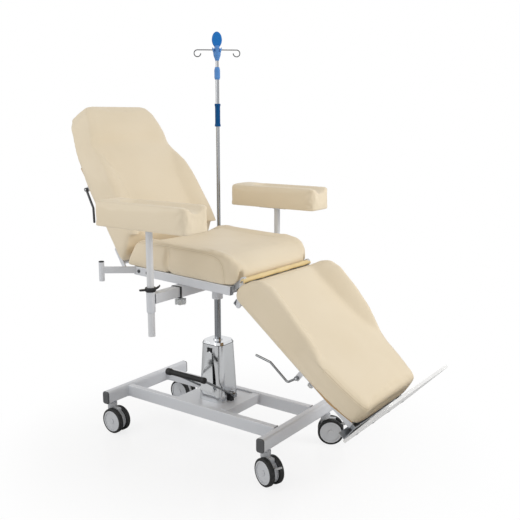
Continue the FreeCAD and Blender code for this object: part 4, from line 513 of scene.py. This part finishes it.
board_top = 0.040
seat = upholster("seat_upholstery", "seat_cushion", "lift", seat_turn, seat_origin, board_top)
reach, across, rise = own_frame(points_of(seat), seat_turn, seat_origin)
tuck_place, tuck_depth, tuck_half_width, tuck_fade = -0.048, 0.0100, 0.013, 0.03
groove = tuck_depth * np.exp(-((reach - tuck_place) / tuck_half_width) ** 2)
groove *= np.clip((np.abs(across) - 0.255) / tuck_fade, 0, 1) * np.clip((0.168 - rise) / tuck_fade, 0, 1)
move_to(seat, points_of(seat) - normals_of(seat) * groove[:, None])
seam_line = [(-0.30, 0.140), (-0.25, 0.156), (-0.05, 0.161), (0.16, 0.163), (0.215, 0.158), (0.243, 0.146),
             (0.260, 0.125), (0.268, 0.098), (0.270, 0.060), (0.267, 0.0)]
sew(seat, seat_turn, seat_origin, seam_line, near=0.21)

# Hinge roll: a slim roll of the same vinyl over felt, coloured a deeper yellow than the seat, sewn under the
# seat's front edge. It covers the hinges and the gap to the leg rest.
welt_vinyl = material_of("vinyl_welt", Roughness=0.45, Specular_IOR_Level=0.4)
where = add(welt_vinyl, "TexCoord").outputs["Object"]
worn = add(welt_vinyl, "TexNoise", {"Vector": where, "Scale": 1 / 0.06, "Detail": 3})
tone = add(welt_vinyl, "MixRGB", {"Fac": worn.outputs["Fac"], "Color1": linear("#EBD6A4"),
                                  "Color2": linear("#DCC28A")})
pucker = add(welt_vinyl, "TexWave", {"Vector": where, "Scale": 1 / 0.045, "Distortion": 3, "Detail": 2},
             bands_direction="Y")
bump = add(welt_vinyl, "Bump", {"Height": pucker.outputs["Fac"], "Strength": 0.5, "Distance": 0.0012})
wire(welt_vinyl, Base_Color=tone.outputs[0], Normal=bump.outputs[0])
roll_x, roll_z, roll_radius, roll_length = column + 0.3478, 0.8762, 0.0108, 0.532
arc_start, arc_sweep, tuck_start, tuck_sweep = 200, 262, 150, 46
end_start, end_length, end_narrowing, end_drop, tuck_in = 0.252, 0.014, 0.004, 0.006, 0.004
bpy.ops.mesh.primitive_grid_add(x_subdivisions=18, y_subdivisions=90, size=1, location=(0, 0, 0))
roll = bpy.context.object
points = points_of(roll)
turns = np.radians(arc_start - arc_sweep * (points[:, 0] + 0.5))
across = points[:, 1] * roll_length
end = np.clip((np.abs(across) - end_start) / end_length, 0, 1)
sag = 0.0007 * np.sin(across * 41) + 0.0005 * np.sin(across * 97 + 1)
radius = roll_radius + sag - end_narrowing * end ** 2
tuck = tuck_in * np.clip((turns - math.radians(tuck_start)) / math.radians(tuck_sweep), 0, 1)
points[:, 0] = roll_x + radius * np.cos(turns) - tuck
points[:, 1] = across
points[:, 2] = roll_z + radius * np.sin(turns) - tuck - end_drop * end ** 2
move_to(roll, points)
apply(roll, "SOLIDIFY", thickness=0.0018, offset=-1)
apply(roll, "SUBSURF", levels=1, render_levels=1)
settle(roll, "hinge_roll", welt_vinyl, "lift", angle=70)

# Back cushion: deep wings beside the patient's waist, shoulders, and a narrower head end
# with a pillow that stands proud of the panel. It is upholstered as the seat is.
back_turn, back_origin = math.radians(58), (column - 0.3427, 0.8743)
upholster("back_upholstery", "back_cushion", "back", back_turn, back_origin, 0.0, soften=12)

# Leg cushion: side bolsters at the knee that fade into a flat pad with a rounded end.
leg_turn, leg_origin = math.radians(38.5), (column + 0.306, 0.805)
leg = upholster("leg_upholstery", "leg_cushion", "leg", leg_turn, leg_origin, 0.0, soften=9)
leg_seam = [(0.50, 0.092), (0.60, 0.091), (0.70, 0.090), (0.75, 0.080)]
sew(leg, leg_turn, leg_origin, leg_seam, near=0.2, depth=0.0006)

# Arm pads: the same vinyl on a plywood-backed foam block, flat behind, with a shallow
# trough for the forearm in front.
pad_underside = 1.094
for side in ("right", "left"):
    upholster("arm_upholstery_" + side, "arm_pad_" + side, "pad_" + side, 0.0, (column, pad_underside), 0.0,
              voxel=0.005, slack=0.002, swell=0.003, soften=5)

# Foot plate: a sheet of cast acrylic with polished edges, screwed to the sliding angle with
# four button-head screws. It is pale and lets only a little of what stands behind it through.
acrylic = material_of("acrylic_clear", IOR=1.49, Transmission_Weight=0.2, Specular_IOR_Level=0.5)
where = add(acrylic, "TexCoord").outputs["Object"]
haze = add(acrylic, "TexNoise", {"Vector": where, "Scale": 1 / 0.1, "Detail": 2})
tone = add(acrylic, "MixRGB", {"Fac": haze.outputs["Fac"], "Color1": linear("#FBFBFA"),
                               "Color2": linear("#F4F3F0")})
wiped = add(acrylic, "MapRange", {"Value": haze.outputs["Fac"], "To Min": 0.12, "To Max": 0.22})
wire(acrylic, Base_Color=tone.outputs[0], Roughness=wiped.outputs[0])
dress(acrylic, "foot_plate")
screw_slide, screw_rise, screw_radius, screw_height, plate_tilt = 0.7505, -0.030, 0.0062, 0.0034, 5.7
centre_x = leg_origin[0] + screw_slide * math.cos(leg_turn) + screw_rise * math.sin(leg_turn)
centre_z = leg_origin[1] - screw_slide * math.sin(leg_turn) + screw_rise * math.cos(leg_turn)
for place, across in enumerate((-0.21, -0.07, 0.07, 0.21)):
    bpy.ops.mesh.primitive_cylinder_add(vertices=24, radius=screw_radius, depth=screw_height,
                                        location=(centre_x, across, centre_z),
                                        rotation=(0, leg_turn + math.radians(90 + plate_tilt), 0))
    screw = bpy.context.object
    apply(screw, "BEVEL", width=0.0014, segments=3, limit_method="ANGLE")
    bpy.ops.object.transform_apply(location=False, rotation=True, scale=True)
    settle(screw, "plate_screw_" + str(place + 1), dark_zinc, "foot")

# Arm posts: smooth painted tube, lighter than the frame.
post_coat = coated("powder_coat_light", "#DCDDDF", "#D0D2D4", 0.3)
dress(post_coat, "arm_post_right", "arm_post_left")

# Post clamps: a split ring of black glass-filled nylon on each socket's rim, closed by a flat
# wing and a rising thumb lever.
outline = [(0.0168, 0.8255), (0.0208, 0.8256), (0.0232, 0.8290), (0.0240, 0.8350), (0.0240, 0.8400),
           (0.0225, 0.8440), (0.0185, 0.8445), (0.0168, 0.8440), (0.0168, 0.8255)]
flat_wing = (238, 0.030, 0.017, 0.0085, 0.8345, 0.0)
thumb_lever = (62, 0.024, 0.010, 0.010, 0.8360, 0.012)
for side, sign in (("right", -1), ("left", 1)):
    axis = (column + 0.020, sign * 0.470)
    bpy.ops.mesh.primitive_circle_add(vertices=40, radius=outline[0][0],
                                      location=(axis[0], axis[1], outline[0][1]))
    ring = bpy.context.object
    bpy.ops.object.mode_set(mode="EDIT")
    for (radius, height), (next_radius, next_height) in zip(outline, outline[1:]):
        bpy.ops.mesh.extrude_region_move(TRANSFORM_OT_translate={"value": (0, 0, next_height - height)})
        share = next_radius / radius
        bpy.ops.transform.resize(value=(share, share, 1), center_override=(axis[0], axis[1], next_height))
    bpy.ops.object.mode_set(mode="OBJECT")
    bits = [ring]
    for angle, length, wide, tall, lift, tip in (flat_wing, thumb_lever):
        heading = math.radians(angle if sign < 0 else -angle)
        bpy.ops.mesh.primitive_cube_add(size=1, location=(0, 0, 0))
        wing = bpy.context.object
        bpy.ops.object.mode_set(mode="EDIT")
        bpy.ops.mesh.subdivide(number_cuts=4)
        bpy.ops.object.mode_set(mode="OBJECT")
        points = points_of(wing)
        out = points[:, 0] + 0.5
        girth = 0.62 + 0.38 * np.sin(math.pi * np.clip(out * 0.9, 0, 1)) ** 0.7
        forward = 0.018 + out * length
        points[:, 1] *= wide * girth
        points[:, 2] = points[:, 2] * tall * (1 - 0.25 * out) + tip * out ** 2
        points[:, 0] = axis[0] + forward * math.cos(heading) - points[:, 1] * math.sin(heading)
        points[:, 1] = axis[1] + forward * math.sin(heading) + points[:, 1] * math.cos(heading)
        points[:, 2] += lift
        move_to(wing, points)
        apply(wing, "BEVEL", width=0.0022, segments=2, limit_method="ANGLE")
        apply(wing, "SUBSURF", levels=1, render_levels=1)
        bits.append(wing)
    bpy.ops.object.select_all(action="DESELECT")
    for bit in bits:
        bit.select_set(True)
    bpy.context.view_layer.objects.active = ring
    bpy.ops.object.join()
    settle(ring, "post_clamp_" + side, black_nylon, "clamp_" + side, angle=40,
           replaces="arm_clamp_" + side)

# Star knobs: six-lobed grips moulded in milky polypropylene that lets some light through.
milky = material_of("polypropylene_milky", Roughness=0.38, Transmission_Weight=0.45,
                    Base_Color=linear("#E4E6E6"))
dress(milky, "arm_knob_right", "arm_knob_left", "foot_lock_knob")

# Infusion pole: a chromed tube with a sliding upper tube, a dark blue handgrip moulded with
# a waist, and a lighter blue locking collar. Both are glossy ABS with no grain.
deep_blue = moulded("abs_dark_blue", "#02487E", 0.36, shine=0.15)
light_blue = moulded("abs_light_blue", "#5285C2", 0.32, shine=0.3)
dress(deep_blue, "pole_grip")
dress(light_blue, "pole_collar", "pole_hub")

# Hook hub: a tapered cup of light blue ABS whose six petals grip the wire hooks, topped by an
# oval paddle of stronger blue with a raised rim. All are moulded and snapped together.
paddle_blue = moulded("abs_paddle_blue", "#116AB4", 0.34, shine=0.3)
pole_x, pole_y = column - 0.328, 0.4225
hub_facing, petal_count, petal_z, petal_half_height = 40, 6, 1.879, 0.0185
outline = [(0.0084, 1.832), (0.0100, 1.832), (0.0110, 1.838), (0.0150, 1.848), (0.0185, 1.858),
           (0.0195, 1.868), (0.0178, 1.880), (0.0150, 1.892), (0.0118, 1.903), (0.0100, 1.908)]
bpy.ops.mesh.primitive_circle_add(vertices=36, radius=outline[0][0], location=(pole_x, pole_y, outline[0][1]))
cup = bpy.context.object
bpy.ops.object.mode_set(mode="EDIT")
for (radius, height), (next_radius, next_height) in zip(outline, outline[1:]):
    bpy.ops.mesh.extrude_region_move(TRANSFORM_OT_translate={"value": (0, 0, next_height - height)})
    share = next_radius / radius
    bpy.ops.transform.resize(value=(share, share, 1), center_override=(pole_x, pole_y, next_height))
bpy.ops.mesh.edge_face_add()
bpy.ops.object.mode_set(mode="OBJECT")
cup.name = "hook_cup"
bits = [cup]
for step in range(petal_count):
    turn = math.radians(hub_facing + 30 + 60 * step)
    bpy.ops.mesh.primitive_uv_sphere_add(segments=20, ring_count=12, radius=1, location=(0, 0, 0))
    petal = bpy.context.object
    points = points_of(petal)
    rise = points[:, 2]
    wide = 0.0088 * (0.55 + 0.45 * np.clip((rise + 1) / 1.2, 0, 1))
    side_way = points[:, 0] * wide
    out_way = points[:, 1] * 0.0030 + 0.0198 + 0.0042 * rise + 0.0026 * np.maximum(rise, 0) ** 2
    points[:, 0] = pole_x + out_way * math.cos(turn) - side_way * math.sin(turn)
    points[:, 1] = pole_y + out_way * math.sin(turn) + side_way * math.cos(turn)
    points[:, 2] = petal_z + rise * petal_half_height
    move_to(petal, points)
    bits.append(petal)
bpy.ops.object.select_all(action="DESELECT")
for bit in bits:
    bit.select_set(True)
bpy.context.view_layer.objects.active = cup
bpy.ops.object.join()
settle(cup, "hook_cup", light_blue, "pole_top", angle=50, replaces="pole_hub")
bpy.ops.mesh.primitive_uv_sphere_add(segments=40, ring_count=24, radius=1, location=(0, 0, 0))
paddle = bpy.context.object
points = points_of(paddle)
facing = math.radians(hub_facing)
paddle_z, paddle_half_height, paddle_half_width = 1.936, 0.0415, 0.0262
rise = points[:, 2]
wide = points[:, 0] * paddle_half_width * (1 - 0.16 * np.clip(-rise, 0, 1) ** 2)
face = np.clip(1 - np.hypot(points[:, 0], rise) / 0.8, 0, 1)
deep = np.sign(points[:, 1]) * (np.abs(points[:, 1]) ** 0.8 * 0.0082 - 0.0030 * np.clip(face * 3, 0, 1))
points[:, 0] = pole_x + wide * math.cos(facing) - deep * math.sin(facing)
points[:, 1] = pole_y + wide * math.sin(facing) + deep * math.cos(facing)
points[:, 2] = paddle_z + rise * paddle_half_height
move_to(paddle, points)
settle(paddle, "hook_paddle", paddle_blue, "pole_top", angle=60, replaces="pole_hub")

# Studio: a white floor that keeps the soft shadows, with a duller grey painted in as its colour for
# reflections only, so that it reads darker in the chrome; a white room, one soft lamp beyond the foot end on
# the patient's left and a wide, weak fill.
bpy.ops.object.select_all(action="DESELECT")
bpy.ops.mesh.primitive_plane_add(size=24, location=(0, 0, 0))
floor = bpy.context.object
floor.name = "studio_floor"
white = material_of("floor_white", Roughness=0.22, Specular_IOR_Level=0.35)
where = add(white, "TexCoord").outputs["Object"]
flat = add(white, "Mapping", {"Vector": where, "Scale": (1, 1, 0)})
far = add(white, "VectorMath", {0: flat.outputs[0]}, operation="LENGTH")
fade = add(white, "MapRange", {"Value": far.outputs["Value"], "From Min": 0.6, "From Max": 1.3, "To Min": 0.8,
                               "To Max": 1}, interpolation_type="SMOOTHSTEP")
path = add(white, "LightPath")
share = add(white, "Math", {0: fade.outputs[0], 1: path.outputs["Is Camera Ray"]}, operation="MULTIPLY")
# Glossy rays see the floor as a duller grey: a painted reflection tone, darker than the floor is.
floor_reflection_painted_grey = add(white, "MixRGB", {"Fac": path.outputs["Is Glossy Ray"], "Color1": linear("#F7F7F7"),
                                 "Color2": linear("#CACACA")})
wire(white, Base_Color=floor_reflection_painted_grey.outputs[0])
glow = add(white, "Emission", {"Strength": 1})
blend = add(white, "MixShader", {0: share.outputs[0], 1: white.node_tree.nodes["Principled BSDF"].outputs[0],
                                 2: glow.outputs[0]})
white.node_tree.links.new(blend.outputs[0], white.node_tree.nodes["Material Output"].inputs["Surface"])
floor.data.materials.append(white)

world = bpy.data.worlds.new("studio_room")
scene.world = world
world.use_nodes = True
path = add(world, "LightPath")
seen = add(world, "Math", {0: path.outputs["Is Camera Ray"], 1: path.outputs["Is Glossy Ray"]},
           operation="MAXIMUM")
clear = add(world, "Math", {0: seen.outputs[0], 1: path.outputs["Is Transmission Ray"]}, operation="MAXIMUM")
level = add(world, "MapRange", {"Value": clear.outputs[0], "To Min": 0.56, "To Max": 1})
room = world.node_tree.nodes["Background"]
room.inputs["Color"].default_value = (1, 1, 1, 1)
world.node_tree.links.new(level.outputs[0], room.inputs["Strength"])

seat_middle = Vector((0, 0, 0.8))
for name, place, size, power in (("key_lamp", (3.6, 1.6, 2.8), 2.0, 92),
                                 ("fill_lamp", (-1.8, -3.2, 2.8), 3.0, 46)):
    lamp = bpy.data.lights.new(name, "AREA")
    lamp.size = size
    lamp.energy = power
    holder = bpy.data.objects.new(name, lamp)
    holder.location = place
    holder.rotation_euler = (seat_middle - Vector(place)).to_track_quat("-Z", "Y").to_euler()
    holder.visible_glossy = name != "key_lamp"
    scene.collection.objects.link(holder)

# Grey studio flags of felt that only reflections see: two behind the chair draw the edges of the
# chromed tubes, and a low one in front gives the column's rod its dark line.
cloth = material_of("flag_cloth", Roughness=0.9, Base_Color=linear("#6E6E6E"))
for name, place, size in (("flag_behind_left", (-3.4, 0.8, 1.3), (1.4, 2.2)),
                          ("flag_behind_right", (0.4, 3.4, 1.3), (1.4, 2.2)),
                          ("flag_front", (0.9, -1.5, 0.15), (0.5, 0.5))):
    bpy.ops.mesh.primitive_plane_add(size=1, location=place)
    flag = bpy.context.object
    flag.name = name
    flag.scale = (size[0], size[1], 1)
    flag.rotation_euler = (Vector((0, 0, place[2])) - Vector(place)).to_track_quat("-Z", "Y").to_euler()
    flag.data.materials.append(cloth)
    flag.visible_camera = flag.visible_diffuse = flag.visible_shadow = flag.visible_transmission = False
